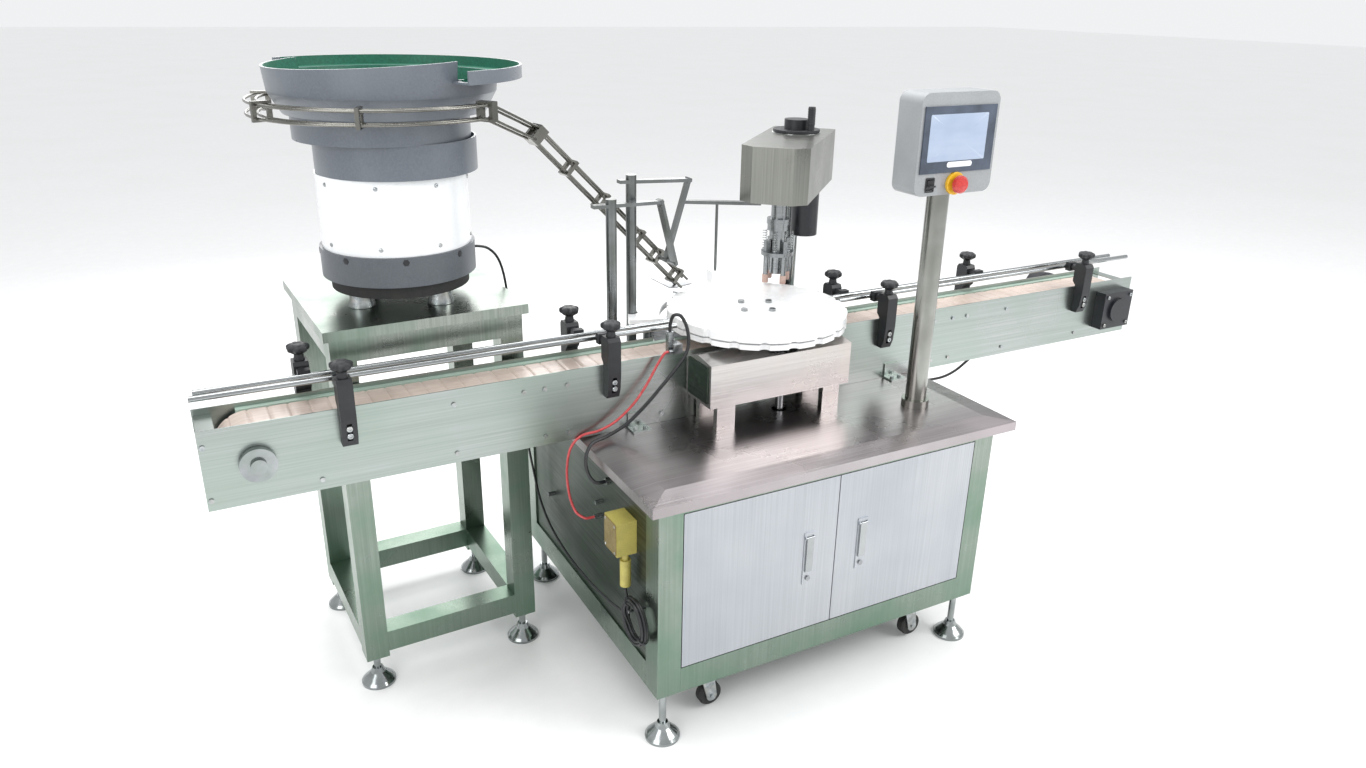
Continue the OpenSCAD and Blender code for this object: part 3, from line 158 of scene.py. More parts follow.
# Stainless sheet with long brush lines. Real lines are about 0.3 mm apart, drawn 2 mm apart to show
# The table's pinkish cast and lighter pinkish patches are a painted sheen over the stainless grey
brushedTable = surface("brushedStainlessTable", ["#938c8d", "#9e9899", "#aaa5a7"], (420, 3, 420),
                       (0.22, 0.36), 1.0, 0.02, 260, "#b4abaf", 0.5)
brushedDoor = surface("brushedStainlessDoor", ["#a4a7ab", "#acafb3", "#b3b6ba"], (3, 420, 420), (0.28, 0.42),
                      1.0, 0.02, 320, "#9a9fa7", 0.4)
# The conveyor's greenish cast and green patches are a painted reflection of the green floor
brushedConveyor = surface("brushedStainlessConveyor", ["#999f9b", "#a2a8a5", "#acb0af"], (420, 420, 3),
                          (0.22, 0.36), 1.0, 0.02, 300, "#98aa9f", 0.5)
brushedCover = surface("brushedStainlessCover", ["#84857f", "#8c8d87", "#959690"], (3, 3, 300), (0.26, 0.38),
                       1.0, 0.02, 120, "#858984", 0.4)
brushedGuard = surface("brushedStainlessGuard", ["#b3b0ae", "#bcb9b7", "#c6c4c2"], (360, 360, 3),
                       (0.2, 0.32), 1.0, 0.02, 150, "#cfc6bd", 0.5)
# Square tube, satin. Its greenish grey, its green patches and the green that grows towards its foot are a
# painted reflection of the green shop floor
satinTube = surface("satinStainlessTube", ["#868c85", "#90968f", "#9aa099"], (4, 4, 260), (0.22, 0.38), 1.0,
                    0.02, 160, "#6f8a78", 0.7, floorReflection="#55735f", reflectionTop=0.75, reflectionLow=-0.25)
# Painted shade: a darker copy of the satin stainless for the cabinet panels and the gear cover's end plate,
# with green patches of painted floor reflection
shadedSatin = surface("satinStainlessShaded", ["#3f4542", "#50574f", "#666c68"], (240, 240, 3), (0.32, 0.46),
                    1.0, 0.02, 200, "#4f6658", 0.6)
# Ground plate beside the dial, darker and blotchy
groundPlate = surface("groundStainlessPlate", ["#6f7173", "#8a8c8e", "#a5a7a9"], (180, 2, 180), (0.26, 0.42),
                      1.0, 0.02, 120, "#5d5f62", 0.6)
# Drawn bar, polished: narrow bright highlights
polishedRod = surface("polishedStainlessRod", ["#989b9c", "#a3a6a7", "#aeb1b2"], (160, 160, 160),
                      (0.10, 0.20), 1.0, 0.0, 60, "#8f9292", 0.4)
# Round bar of the chute and its posts, drawn and handled: darker, with a soft highlight
agedRod = surface("drawnSteelRod", ["#6f6e69", "#7d7c77", "#8b8a85"], (60, 60, 60), (0.2, 0.34), 1.0, 0.0, 30,
                  "#5f5e59", 0.5)
greyBar = surface("drawnSteelBar", ["#6c6f6f", "#777a7a", "#838686"], (80, 80, 80), (0.24, 0.38), 1.0, 0.0,
                  60, "#62675f", 0.5)
postTube = surface("polishedStainlessTube", ["#8d8e89", "#989994", "#a3a49f"], (160, 160, 160), (0.12, 0.24),
                   1.0, 0.0, 90, "#7f8079", 0.5)
turnedSteel = surface("turnedSteel", ["#8b8e90", "#959899", "#9fa2a4"], (60, 60, 3), (0.20, 0.32), 1.0, 0.0,
                      40, "#858789", 0.5)
zincPlate = surface("zincPlatedSteel", ["#8e9498", "#a8adaf", "#c4c7c7"], (14, 14, 14), (0.22, 0.36), 1.0,
                    0.02, 22, "#a09a8c", 0.5)
# Its lighter green patches are a painted reflection of the green floor
chromeFoot = surface("chromedSteel", ["#85898a", "#969a9b", "#a7abac"], (60, 60, 60), (0.12, 0.24), 1.0, 0.0,
                     40, "#8f9a92", 0.4)
# Sprayed enamel: thin orange peel about 3 mm wide under a gloss
bowlEnamel = surface("slateEnamel", ["#5b6169", "#60666e", "#656b73"], (4, 4, 4), (0.26, 0.36), 0.0, 0.015,
                     140, "#6f767c", 0.5, **{"Coat Weight": 0.25, "Coat Roughness": 0.2})
baseEnamel = surface("darkGreyEnamel", ["#4b5056", "#50555b", "#565b61"], (4, 4, 4), (0.3, 0.44), 0.0, 0.02,
                     90, "#5a5f63", 0.5)
drumEnamel = surface("whiteEnamel", ["#e4e6e8", "#e7e9ea", "#eaecee"], (6, 6, 6), (0.12, 0.2), 0.0, 0.008,
                     220, "#d3d6d8", 0.35, **{"Coat Weight": 0.5, "Coat Roughness": 0.08})
panelEnamel = surface("silverPowderCoat", ["#8f9294", "#9b9ea0", "#a7aaac"], (1.6, 1.6, 1.6), (0.38, 0.5),
                      0.35, 0.04, 110, "#8a8d8f", 0.4)
motorPaint = surface("blackSatinPaint", ["#15161a", "#1c1d21", "#25262b"], (4, 4, 4), (0.28, 0.42), 0.0,
                     0.04, 80, "#2d2f35", 0.5)
# Glass filled nylon, moulded: fine grain about 1 mm wide, greyer where it is handled
blackNylon = surface("mouldedBlackNylon", ["#121316", "#1a1b1e", "#232528"], (1.2, 1.2, 1.2), (0.38, 0.55),
                     0.0, 0.05, 45, "#2c2f31", 0.6)
blackRubber = surface("blackRubber", ["#141415", "#1b1b1c", "#242425"], (3, 3, 3), (0.6, 0.78), 0.0, 0.06, 40,
                      "#34332f", 0.6)
cableSheath = surface("blackCableSheath", ["#101113", "#17181a", "#1f2022"], (6, 6, 6), (0.35, 0.5), 0.0,
                      0.02, 60, "#26282a", 0.5)
redTube = surface("redPolyurethaneTube", ["#a83a3c", "#b84547", "#c65254"], (8, 8, 8), (0.2, 0.3), 0.0, 0.0,
                  60, "#9c3436", 0.4)
# Acetal slats, moulded and worn smooth, a little dirty between them
beigeAcetal = surface("beigeAcetal", ["#bfaea3", "#c9b9af", "#d2c4bb"], (90, 4, 90), (0.3, 0.46), 0.0, 0.02,
                      70, "#ab9a8e", 0.5)
stripPlastic = surface("greenPolyethyleneStrip", ["#93ab9d", "#a0b6a9", "#adc1b5"], (60, 3, 3), (0.35, 0.5),
                       0.0, 0.02, 80, "#a9b5ab", 0.5)
# Acetal plate, turned and scuffed by bottles
whiteAcetal = surface("whiteAcetal", ["#e6e7e7", "#eeefef", "#f5f5f5"], (30, 30, 30), (0.18, 0.34), 0.0, 0.0,
                      90, "#dcddde", 0.45, **{"Coat Weight": 0.3, "Coat Roughness": 0.12})
greenLining = surface("greenPolyurethaneLining", ["#17513f", "#1c5f4b", "#226d57"], (5, 5, 5), (0.4, 0.55),
                      0.0, 0.04, 50, "#155a45", 0.5)
yellowBox = surface("yellowMouldedPlastic", ["#a3984a", "#b3a858", "#c2b867"], (2, 2, 2), (0.4, 0.55), 0.0,
                    0.04, 40, "#8f8546", 0.5)
brownLid = surface("brownMouldedLid", ["#6b5c33", "#7a6a3c", "#8a7a4a"], (2, 2, 2), (0.4, 0.55), 0.0, 0.03,
                   30, "#5d5030", 0.5)
redPlastic = surface("redMouldedPlastic", ["#b02a26", "#bf322d", "#cb3d37"], (6, 6, 6), (0.22, 0.32), 0.0,
                     0.0, 20, "#a4231f", 0.4, **{"Coat Weight": 0.4, "Coat Roughness": 0.1})
yellowPlastic = surface("yellowRingPlastic", ["#d6a51f", "#e2b22a", "#ebbe3c"], (6, 6, 6), (0.25, 0.35), 0.0,
                        0.0, 20, "#c8981a", 0.4)
bezelGlass = surface("blueBlackBezel", ["#343c49", "#3c4553", "#454e5d"], (40, 40, 40), (0.08, 0.16), 0.0,
                     0.0, 90, "#5a6475", 0.5, **{"Coat Weight": 0.6, "Coat Roughness": 0.05})
displayGlass = surface("paleBlueDisplay", ["#93a2ba", "#9caac0", "#a6b3c7"], (400, 400, 60), (0.06, 0.12),
                       0.0, 0.0, 120, "#b3bfd0", 0.4, **{"Coat Weight": 0.8, "Coat Roughness": 0.04})
paleStrip = surface("palePanelStrip", ["#d9dde2", "#e3e6ea", "#eceef1"], (20, 20, 20), (0.2, 0.3), 0.0, 0.0,
                    30, "#cfd3d8", 0.3)
pinkSilicone = surface("pinkSiliconeSleeve", ["#b4988d", "#c0a599", "#cbb1a6"], (3, 3, 3), (0.45, 0.6), 0.0,
                       0.03, 20, "#ad8279", 0.4)

finishOf = {
    "cabinet_frame": satinTube, "tabletop": brushedTable, "cabinet_panels": shadedSatin,
    "levelling_feet": chromeFoot, "left_door": brushedDoor, "right_door": brushedDoor,
    "left_lock_lever": polishedRod, "right_lock_lever": polishedRod, "left_lock_button": turnedSteel,
    "right_lock_button": turnedSteel, "conveyor_frame": brushedConveyor, "conveyor_screws": zincPlate,
    "slat_chain": beigeAcetal, "wear_strips": stripPlastic, "drive_sprocket": turnedSteel,
    "idler_sprocket": chromeFoot, "gear_motor": motorPaint, "guide_rails": polishedRod,
    "guide_brackets": blackNylon, "guide_knobs": blackNylon, "dial_base": turnedSteel,
    "dial_disc": whiteAcetal, "dial_hub": turnedSteel, "drive_pinion": turnedSteel,
    "index_drive": baseEnamel, "gear_cover": brushedGuard, "outer_guide": whiteAcetal,
    "gate_cylinder": turnedSteel, "gate_rod": polishedRod, "head_column": polishedRod,
    "head_cover": brushedCover, "head_motor": motorPaint, "spindle_quill": turnedSteel,
    "capping_chuck": turnedSteel, "hand_wheel": blackNylon, "cap_chute": agedRod, "chute_supports": greyBar,
    "stand_frame": satinTube, "feeder_base": baseEnamel, "drum_shell": drumEnamel, "feeder_bowl": bowlEnamel,
    "panel_post": postTube, "panel_box": panelEnamel, "touch_screen": bezelGlass, "stop_button": redPlastic,
    "rocker_switch": blackNylon, "junction_box": yellowBox, "sensor_cable": cableSheath, "air_tube": redTube,
    "motor_cable": cableSheath, "feeder_cable": cableSheath, "cable_coil": cableSheath,
}
for corner in ("front_left", "front_right", "back_left", "back_right"):
    finishOf["caster_fork_" + corner] = zincPlate
    finishOf["caster_wheel_" + corner] = blackRubber
for name, node in nodes.items():
    node.data.materials.clear()
    node.data.materials.append(finishOf[name])


# loftMesh: each grid is rings x points x 3. A ring joins the next, and its last point joins its first.
# Rings that shrink to a point close the ends; a cyclic grid joins its last ring to its first.
def loftMesh(name, grids, material, body, replaced=(), cyclic=False, sharp=38.0):
    allPoints, allFaces, start = [], [], 0
    for grid in grids:
        count, around = grid.shape[:2]
        i = np.arange(count if cyclic else count - 1)[:, None]
        j = np.arange(around)[None, :]
        nextI, nextJ = (i + 1) % count, (j + 1) % around
        faces = np.stack(np.broadcast_arrays(i * around + j, i * around + nextJ, nextI * around + nextJ,
                                             nextI * around + j), -1)
        allPoints.append(grid.reshape(-1, 3))
        allFaces.append(faces.reshape(-1, 4) + start)
        start += count * around
    mesh = bpy.data.meshes.new(name)
    mesh.from_pydata(np.concatenate(allPoints), [], np.concatenate(allFaces).tolist())
    work = bmesh.new()
    work.from_mesh(mesh)
    bmesh.ops.remove_doubles(work, verts=work.verts, dist=1e-6)
    bmesh.ops.dissolve_degenerate(work, edges=work.edges, dist=1e-7)
    bmesh.ops.recalc_face_normals(work, faces=work.faces)
    work.to_mesh(mesh)
    work.free()
    mesh.polygons.foreach_set("use_smooth", np.ones(len(mesh.polygons), bool))
    mesh.set_sharp_from_angle(angle=math.radians(sharp))
    mesh.materials.append(material)
    piece = bpy.data.objects.new(name, mesh)
    bpy.context.scene.collection.objects.link(piece)
    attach(piece, body)
    if replaced:
        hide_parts(*replaced)
    return piece


# turned: (r, h) carried round an axis, r * (1 - depth * (0.5 - 0.5 cos(lobes t))) where r is past the core
def turned(profile, origin, axis="z", around=48, lobes=0, depth=0.0, core=0.0):
    profile = np.asarray(profile, float)
    t = np.linspace(0, 2 * np.pi, around, endpoint=False)
    radius = np.repeat(profile[:, :1], around, 1)
    if lobes:
        cut = depth * (0.5 - 0.5 * np.cos(lobes * t))[None, :]
        radius = np.where(radius > core, core + (radius - core) * (1 - cut), radius)
    height = np.repeat(profile[:, 1:], around, 1)
    u, v = radius * np.cos(t), radius * np.sin(t)
    order = {"z": (u, v, height), "y": (u, height, v), "x": (height, u, v)}[axis]
    return place(np.stack(order, -1) + np.asarray(origin, float))


# tubeAlong: p(s) + r (n cos a + b sin a), where n is the part of reference square to the path and b = t x n
def tubeAlong(path, radius, reference, sides=10, capped=True):
    path = np.asarray(path, float)
    tangent = np.gradient(path, axis=0)
    tangent /= np.linalg.norm(tangent, axis=1, keepdims=True)
    reference = np.broadcast_to(np.asarray(reference, float), path.shape)
    normal = reference - (reference * tangent).sum(1, keepdims=True) * tangent
    normal /= np.linalg.norm(normal, axis=1, keepdims=True)
    side = np.cross(tangent, normal)
    a = np.linspace(0, 2 * np.pi, sides, endpoint=False)[None, :, None]
    rings = path[:, None] + radius * (np.cos(a) * normal[:, None] + np.sin(a) * side[:, None])
    if capped:
        ends = [np.repeat(path[k][None, None], sides, 1) for k in (0, -1)]
        rings = np.concatenate([ends[0], rings, ends[1]])
    return place(rings)


# roundedOutline: corner centres plus r (cos a, sin a), a quarter turn for each corner
def roundedOutline(width, height, radius, steps=6):
    a = np.linspace(0, np.pi / 2, steps)[None, :] + np.arange(4)[:, None] * np.pi / 2
    cx = (width / 2 - radius) * np.array([1, -1, -1, 1])[:, None]
    cy = (height / 2 - radius) * np.array([1, 1, -1, -1])[:, None]
    return np.stack([(cx + radius * np.cos(a)).ravel(), (cy + radius * np.sin(a)).ravel()], -1)


# plateGrid: an outline lifted from one face to the other with a small bevel, its ends drawn to their middle
def plateGrid(outline, centre, thickness, normal="y", bevel=0.5):
    spans = [(0.0, 0.0), (1.0, 0.0), (1.0, bevel), (1.0, thickness - bevel), (1.0, thickness),
             (0.0, thickness)]
    size = np.abs(outline).max(0)
    rings = []
    for k, (scale, lift) in enumerate(spans):
        inset = (size - bevel) / size if k in (1, 4) else np.ones(2)
        flat = outline * scale * inset
        lifted = np.full(len(flat), lift)
        rings.append(np.stack({"y": (flat[:, 0], lifted, flat[:, 1]), "x": (lifted, flat[:, 0], flat[:, 1]),
                               "z": (flat[:, 0], flat[:, 1], lifted)}[normal], -1))
    return place(np.stack(rings) + np.asarray(centre, float))


# smoothRoute: Catmull-Rom through the points,
# 0.5 (2b + (c - a) t + (2a - 5b + 4c - d) t^2 + (3b - a - 3c + d) t^3)
def smoothRoute(points, steps=8):
    p = np.asarray(points, float)
    p = np.concatenate([p[:1], p, p[-1:]])
    a, b, c, d = (p[k:len(p) - 3 + k][:, None] for k in range(4))
    t = (np.arange(steps) / steps)[None, :, None]
    curve = 0.5 * (2 * b + (c - a) * t + (2 * a - 5 * b + 4 * c - d) * t * t
                   + (3 * b - a - 3 * c + d) * t ** 3)
    return np.concatenate([curve.reshape(-1, 3), p[-1:]])


# Routes in cabinet millimetres. A piece shorter than either limit isn't stated as a cord
cords = {
    "sensorCable": {
        "node": "sensor_cable", "diameter": 8, "material": cableSheath, "slot": "cable_black",
        "route": [[205, 352, 821], [205, 350, 840], [209, 342, 860], [221, 330, 860], [230, 319, 836],
                  [231, 311, 804], [222, 308, 775], [198, 308, 746], [162, 309, 708], [120, 311, 666],
                  [75, 313, 630], [28, 311, 612], [-12, 302, 606], [-34, 286, 582], [-38, 266, 556],
                  [-31, 251, 541], [-20, 245, 538], [-7, 245, 538]],
    },
    "airTube": {
        "node": "air_tube", "diameter": 6, "material": redTube, "slot": "tube_red",
        "route": [[194, 338, 777], [184, 338, 774], [166, 336, 752], [140, 334, 712], [112, 333, 676],
                  [84, 333, 650], [54, 335, 629], [20, 340, 615], [-18, 348, 607], [-44, 350, 580],
                  [-56, 344, 530], [-58, 328, 478], [-52, 308, 444], [-38, 292, 432], [-26, 290, 430],
                  [-15, 290, 430]],
    },
    "motorCable": {
        "node": "motor_cable", "diameter": 8, "material": cableSheath, "slot": "cable_black",
        "route": [[1624, 570, 684], [1610, 570, 683], [1590, 562, 672], [1565, 542, 650], [1535, 515, 632],
                  [1490, 498, 618], [1435, 492, 604], [1380, 490, 586], [1330, 490, 562], [1280, 490, 534],
                  [1235, 490, 508], [1190, 490, 495], [1140, 490, 494], [1080, 490, 500], [1020, 490, 508],
                  [960, 490, 515], [915, 490, 517], [887, 490, 517]],
    },
    "feederCable": {
        "node": "feeder_cable", "diameter": 6, "material": cableSheath, "slot": "cable_black",
        "route": [[-143, 676, 978], [-130, 676, 978], [-106, 676, 970], [-84, 678, 945], [-70, 680, 900],
                  [-60, 683, 820], [-50, 686, 720], [-42, 688, 620], [-34, 688, 520], [-26, 686, 440],
                  [-18, 678, 370], [-14, 655, 310], [-14, 610, 274], [-14, 550, 250], [-14, 480, 238],
                  [-14, 400, 234], [-14, 320, 238], [-15, 250, 248], [-17, 190, 260], [-18, 150, 271],
                  [-19, 126, 280]],
    },
    "plugLead": {
        "node": "feeder_cable", "diameter": 6, "material": cableSheath, "slot": "cable_black",
        "route": [[-18, 118, 351], [-18, 118, 344], [-18, 115, 334], [-19, 110, 326]],
    },
}


# A round cord: one open spline through the smoothed route, with a round bevel
def makeCord(name, facts):
    route = place(smoothRoute(facts["route"]))
    data = bpy.data.curves.new(name, "CURVE")
    data.dimensions = "3D"
    diameter = facts["diameter"] / 1000
    data.bevel_depth = diameter / 2
    data.bevel_resolution = 4
    data.use_fill_caps = True
    spline = data.splines.new("POLY")
    spline.points.add(len(route) - 1)
    spline.points.foreach_set("co", np.column_stack([route, np.ones(len(route))]).ravel())
    spline.use_smooth = True
    data.materials.append(facts["material"])
    piece = bpy.data.objects.new(name, data)
    bpy.context.scene.collection.objects.link(piece)
    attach(piece, "base")
    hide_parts(facts["node"])


print("stage: cords")
for name, facts in cords.items():
    makeCord(name, facts)

# Coil on its hook: seven turns, one in the middle of the bundle and six round it
coil = {"centre": (-19, 70, 288), "radius": 45, "turns": 7, "spacing": 6.6, "wire": 6, "steps": 72}


# coilPath: (R + q) (cos t, sin t) in the coil's plane and w along its axis, with (q, w) the turn's place in
# the bundle, eased from one place to the next over the last sixth of a turn
def coilPath():
    s = np.arange(coil["turns"] * coil["steps"] + 1) / coil["steps"]
    turn = np.minimum(np.floor(s), coil["turns"] - 1).astype(int)
    angle = np.arange(coil["turns"] - 1) * np.pi / 3
    seats = np.vstack([[0, 0], coil["spacing"] * np.column_stack([np.cos(angle), np.sin(angle)])])
    after = seats[np.minimum(turn + 1, coil["turns"] - 1)]
    ease = np.clip((s - turn - 5 / 6) * 6, 0, 1)[:, None]
    seat = seats[turn] + (after - seats[turn]) * ease ** 2 * (3 - 2 * ease)
    t = 2 * np.pi * s + 0.25
    reach = coil["radius"] + seat[:, 0]
    x, y, z = coil["centre"]
    path = np.column_stack([x + seat[:, 1], y + reach * np.cos(t), z + reach * np.sin(t)])
    outward = np.column_stack([0 * t, np.cos(t), np.sin(t)])
    return path, outward


path, outward = coilPath()
loftMesh("coilWindings", [tubeAlong(path, coil["wire"] / 2, outward, 8)], cableSheath, "base",
         ["cable_coil"])
# Two nylon ties round the bundle: radii from the bundle's middle and half the tie's width
tie = {"angles": (0.9, 3.6), "inner": 10.2, "outer": 11.4, "half": 2.5, "around": 24}


# coilTie: middle + r (outward cos t + x sin t) + w along, for a flat band round the bundle
def coilTie(angle):
    outwardAt = np.array([0, math.cos(angle), math.sin(angle)])
    along = np.array([0, -math.sin(angle), math.cos(angle)])
    middle = np.array(coil["centre"]) + coil["radius"] * outwardAt
    t = np.linspace(0, 2 * np.pi, tie["around"] + 1)[:-1]
    circle = np.cos(t)[:, None] * outwardAt + np.sin(t)[:, None] * np.array([1.0, 0, 0])
    section = [(tie["inner"], -tie["half"]), (tie["outer"], -tie["half"]), (tie["outer"], tie["half"]),
               (tie["inner"], tie["half"])]
    return place(np.stack([middle + r * circle + w * along for r, w in section]))


loftMesh("coilTies", [coilTie(angle) for angle in tie["angles"]], blackNylon, "base",
         cyclic=True)

print("stage: conveyor and guides")
chain = {"left": -681.0, "right": 1675.0, "height": 684.0, "radius": 71.0, "thick": 4.0, "yLow": 372.0,
         "yHigh": 454.0, "slats": 135, "perSlat": 10, "groove": 2.0, "grooveWide": 1.7, "edge": 0.8}


# slatBand: runs round the two end wheels; the outer face drops by groove * exp(-(d / wide)^2), where d is the
# distance from a slat's joint
def slatBand():
    straight, bend = chain["right"] - chain["left"], np.pi * chain["radius"]
    total = 2 * (straight + bend)
    s = np.arange(chain["slats"] * chain["perSlat"]) / (chain["slats"] * chain["perSlat"]) * total
    pitch = total / chain["slats"]
    away = np.abs((s + pitch / 2) % pitch - pitch / 2)
    dip = chain["groove"] * np.exp(-(away / chain["grooveWide"]) ** 2)
    a1 = np.clip((s - straight) / bend, 0, 1) * np.pi
    a2 = np.clip((s - 2 * straight - bend) / bend, 0, 1) * np.pi
    angle = np.pi / 2 - a1 - a2
    back = np.clip(s - straight - bend, 0, straight)
    x = chain["left"] + np.clip(s, 0, straight) - back
    outer = chain["radius"] - dip
    inner = np.full_like(outer, chain["radius"] - chain["thick"])
    edge, low, high = chain["edge"], chain["yLow"], chain["yHigh"]
    section = [(outer - edge, low), (outer, low + edge), (outer, high - edge), (outer - edge, high),
               (inner, high), (inner, low)]
    rows = [np.stack([x + r * np.cos(angle), np.full_like(s, y), chain["height"] + r * np.sin(angle)], -1)
            for r, y in section]
    return place(np.stack(rows, 1))


loftMesh("slatChain", [slatBand()], beigeAcetal, "base", ["slat_chain"], cyclic=True,
         sharp=30)

# One entry for each side: its brackets' places along the conveyor, the knobs' y, the way they face and the
# plates' y
guides = [
    {"along": (-511, 55, 823, 1533), "knobY": 343.0, "faces": -1, "plateY": 353},
    {"along": (-569, 15, 752, 1216), "knobY": 483.0, "faces": 1, "plateY": 473},
]
knob = {"z": 833.2, "around": 84, "lobes": 7, "depth": 0.34, "core": 9.0}
bolt = {"levels": (716, 731), "off": 26.5, "head": 3.4, "top": 4.2, "socket": 2.6, "around": 20}
knobProfile = [(0, 0), (11, 0), (11, 1), (9, 12), (17, 17), (21.5, 20), (23, 22.5), (23, 28), (21.5, 30.5),
               (17, 33), (8, 33.4), (7, 32.6), (0, 32.6)]


# boltHead: (r, h) of a socket cap, h turned to the side that the bracket faces
def boltHead(faces):
    low, top, socket = faces * bolt["head"], faces * bolt["top"], faces * bolt["socket"]
    return [(0, 0), (6, 0), (6, low), (5.2, top), (3, top), (2.6, socket), (0, socket)]


knobs, bolts = [], []
for side in guides:
    for x in side["along"]:
        knobs.append(turned(knobProfile, (x, side["knobY"], knob["z"]), around=knob["around"],
                            lobes=knob["lobes"], depth=knob["depth"], core=knob["core"]))
        boltY = side["plateY"] + side["faces"] * bolt["off"]
        for z in bolt["levels"]:
            bolts.append(turned(boltHead(side["faces"]), (x, boltY, z), "y", bolt["around"]))
loftMesh("starKnobs", knobs, blackNylon, "base", ["guide_knobs"])
loftMesh("bracketBolts", bolts, zincPlate, "base")

print("stage: feeder")
bowl = {"centre": (-310, 676), "z3": 1290.3, "rim": 1395.3, "tilt": math.radians(3), "trackStart": -66.0,
        "trackEnd": 128.0, "lining": 1.6, "rimRadius": 238, "trackDrop": 30}
wall = {"lifts": [4, 44, 117], "radii": [205.0, 228.0, 236.0]}


# coneRadius: inside radius of the bowl's wall at a height above its middle step, straight between three sizes
def coneRadius(lift):
    return np.interp(lift, wall["lifts"], wall["radii"])


# rimHeight: the rim's plane, rim + x sin(tilt), or the low edge beside the outlet track
def rimHeight(angle):
    full = bowl["rim"] + bowl["rimRadius"] * np.cos(angle) * math.sin(bowl["tilt"])
    degrees = np.degrees(angle) % 360
    beside = (degrees > bowl["trackStart"] % 360) | (degrees < bowl["trackEnd"])
    return np.where(beside, bowl["rim"] - bowl["trackDrop"], full)


# bowlLining: r(z) less a hair inside the wall, from the middle step up to the rim and back down one thickness
# further in
def bowlLining():
    t = np.linspace(0, 2 * np.pi, 240, endpoint=False)
    top = rimHeight(t) - 0.2
    share = np.linspace(0, 1, 12)[:, None]
    low = bowl["z3"] + 4.6
    z = low + (top - low) * share
    outside = coneRadius(z - bowl["z3"]) - 0.4
    inside = outside - bowl["lining"]
    rows = []
    for r, level in [*zip(outside, z), *zip(inside[::-1], z[::-1])]:
        rows.append(np.stack([bowl["centre"][0] + r * np.cos(t), bowl["centre"][1] + r * np.sin(t), level],
                             -1))
    return place(np.stack(rows))


loftMesh("bowlLining", [bowlLining()], greenLining, "bowl", cyclic=True)


ledge = {"turns": 1.35, "width": 30.0, "thick": 3.0, "steps": 180, "start": 10, "end": 34, "gap": 2.4,
         "fall": 1.5}


# spiralTrack: a ledge whose height climbs with the turn and whose outer edge follows the wall
def spiralTrack():
    s = np.linspace(0, 1, ledge["steps"])
    angle = math.radians(bowl["trackStart"]) - 2 * np.pi * ledge["turns"] * (1 - s)
    low = bowl["z3"] + ledge["start"]
    z = low + (bowl["rim"] - ledge["end"] - low) * s
    outer = coneRadius(z - bowl["z3"]) - ledge["gap"]
    inner = outer - ledge["width"]
    rows = []
    for r, dz in ((outer, 0.0), (inner, ledge["fall"]), (inner, ledge["fall"] - ledge["thick"]),
                  (outer, -ledge["thick"])):
        rows.append(np.stack([bowl["centre"][0] + r * np.cos(angle), bowl["centre"][1] + r * np.sin(angle),
                              z + dz], -1))
    grid = np.stack(rows, 1)
    middles = [np.repeat(grid[k].mean(0)[None, None], 4, 1) for k in (0, -1)]
    return place(np.concatenate([middles[0], grid, middles[1]]))


loftMesh("spiralTrack", [spiralTrack()], greenLining, "bowl")


strip = {"inner": 239.5, "outer": 282.6, "drop": 31.8, "tall": 22, "thick": 1.4, "short": 1, "steps": 120}


# trackLining: a thin strip over the outlet track's floor and up its outer wall, carried round the bowl
def trackLining():
    ends = bowl["trackStart"] + strip["short"], bowl["trackEnd"] - strip["short"]
    angle = np.radians(np.linspace(*ends, strip["steps"]))
    floor = bowl["rim"] - strip["drop"]
    inner, outer, top = strip["inner"], strip["outer"], floor + strip["tall"]
    section = [(inner, floor), (outer, floor), (outer, top), (outer - strip["thick"], top),
               (outer - strip["thick"], floor + strip["thick"]), (inner, floor + strip["thick"])]
    grid = np.stack([np.stack([bowl["centre"][0] + r * np.cos(angle), bowl["centre"][1] + r * np.sin(angle),
                               np.full_like(angle, z)], -1) for r, z in section], 1)
    middles = [np.repeat(grid[k].mean(0)[None, None], len(section), 1) for k in (0, -1)]
    return place(np.concatenate([middles[0], grid, middles[1]]))


loftMesh("trackLining", [trackLining()], greenLining, "bowl")

# Screws on the drum's skirt and slots in the ring below it
drum = {"centre": np.array([-310.0, 676.0]), "radius": 160.0, "levels": (1026.0, 1152.0), "count": 8,
        "first": 20}
slots = {"radius": 166.0, "level": 999.0, "first": -98, "step": 45, "count": 8, "around": 6}
mounts = {"count": 4, "first": 30, "step": 90, "reach": 118}


# radialDisc: (r, h) turned about a line square to the drum's wall at an angle, h outwards from the wall
def radialDisc(angle, radius, z, profile, around=20):
    t = np.linspace(0, 2 * np.pi, around, endpoint=False)
    outward = np.array([math.cos(angle), math.sin(angle), 0])
    side = np.array([-math.sin(angle), math.cos(angle), 0])
    base = np.array([*drum["centre"], z]) + outward * radius
    rings = [base + outward * h + r * (np.cos(t)[:, None] * side + np.sin(t)[:, None] * np.array([0, 0, 1.0]))
             for r, h in profile]
    return place(np.stack(rings))


screwHead = [(0, -1), (4.5, -1), (4.5, 0.6), (3.6, 1.9), (1.8, 2.4), (0, 2.4)]
drumScrews = [radialDisc(math.radians(drum["first"] + 360 / drum["count"] * k), drum["radius"], z, screwHead)
              for k in range(drum["count"]) for z in drum["levels"]]
loftMesh("drumScrews", drumScrews, zincPlate, "base")
slotProfile = [(0, -0.6), (7.5, -0.6), (7.5, 0.5), (6.5, 0.9), (0, 0.9)]
ringSlots = [radialDisc(math.radians(slots["first"] + slots["step"] * k), slots["radius"], slots["level"],
                        slotProfile, slots["around"]) for k in range(slots["count"])]
loftMesh("ringSlots", ringSlots, blackNylon, "base")
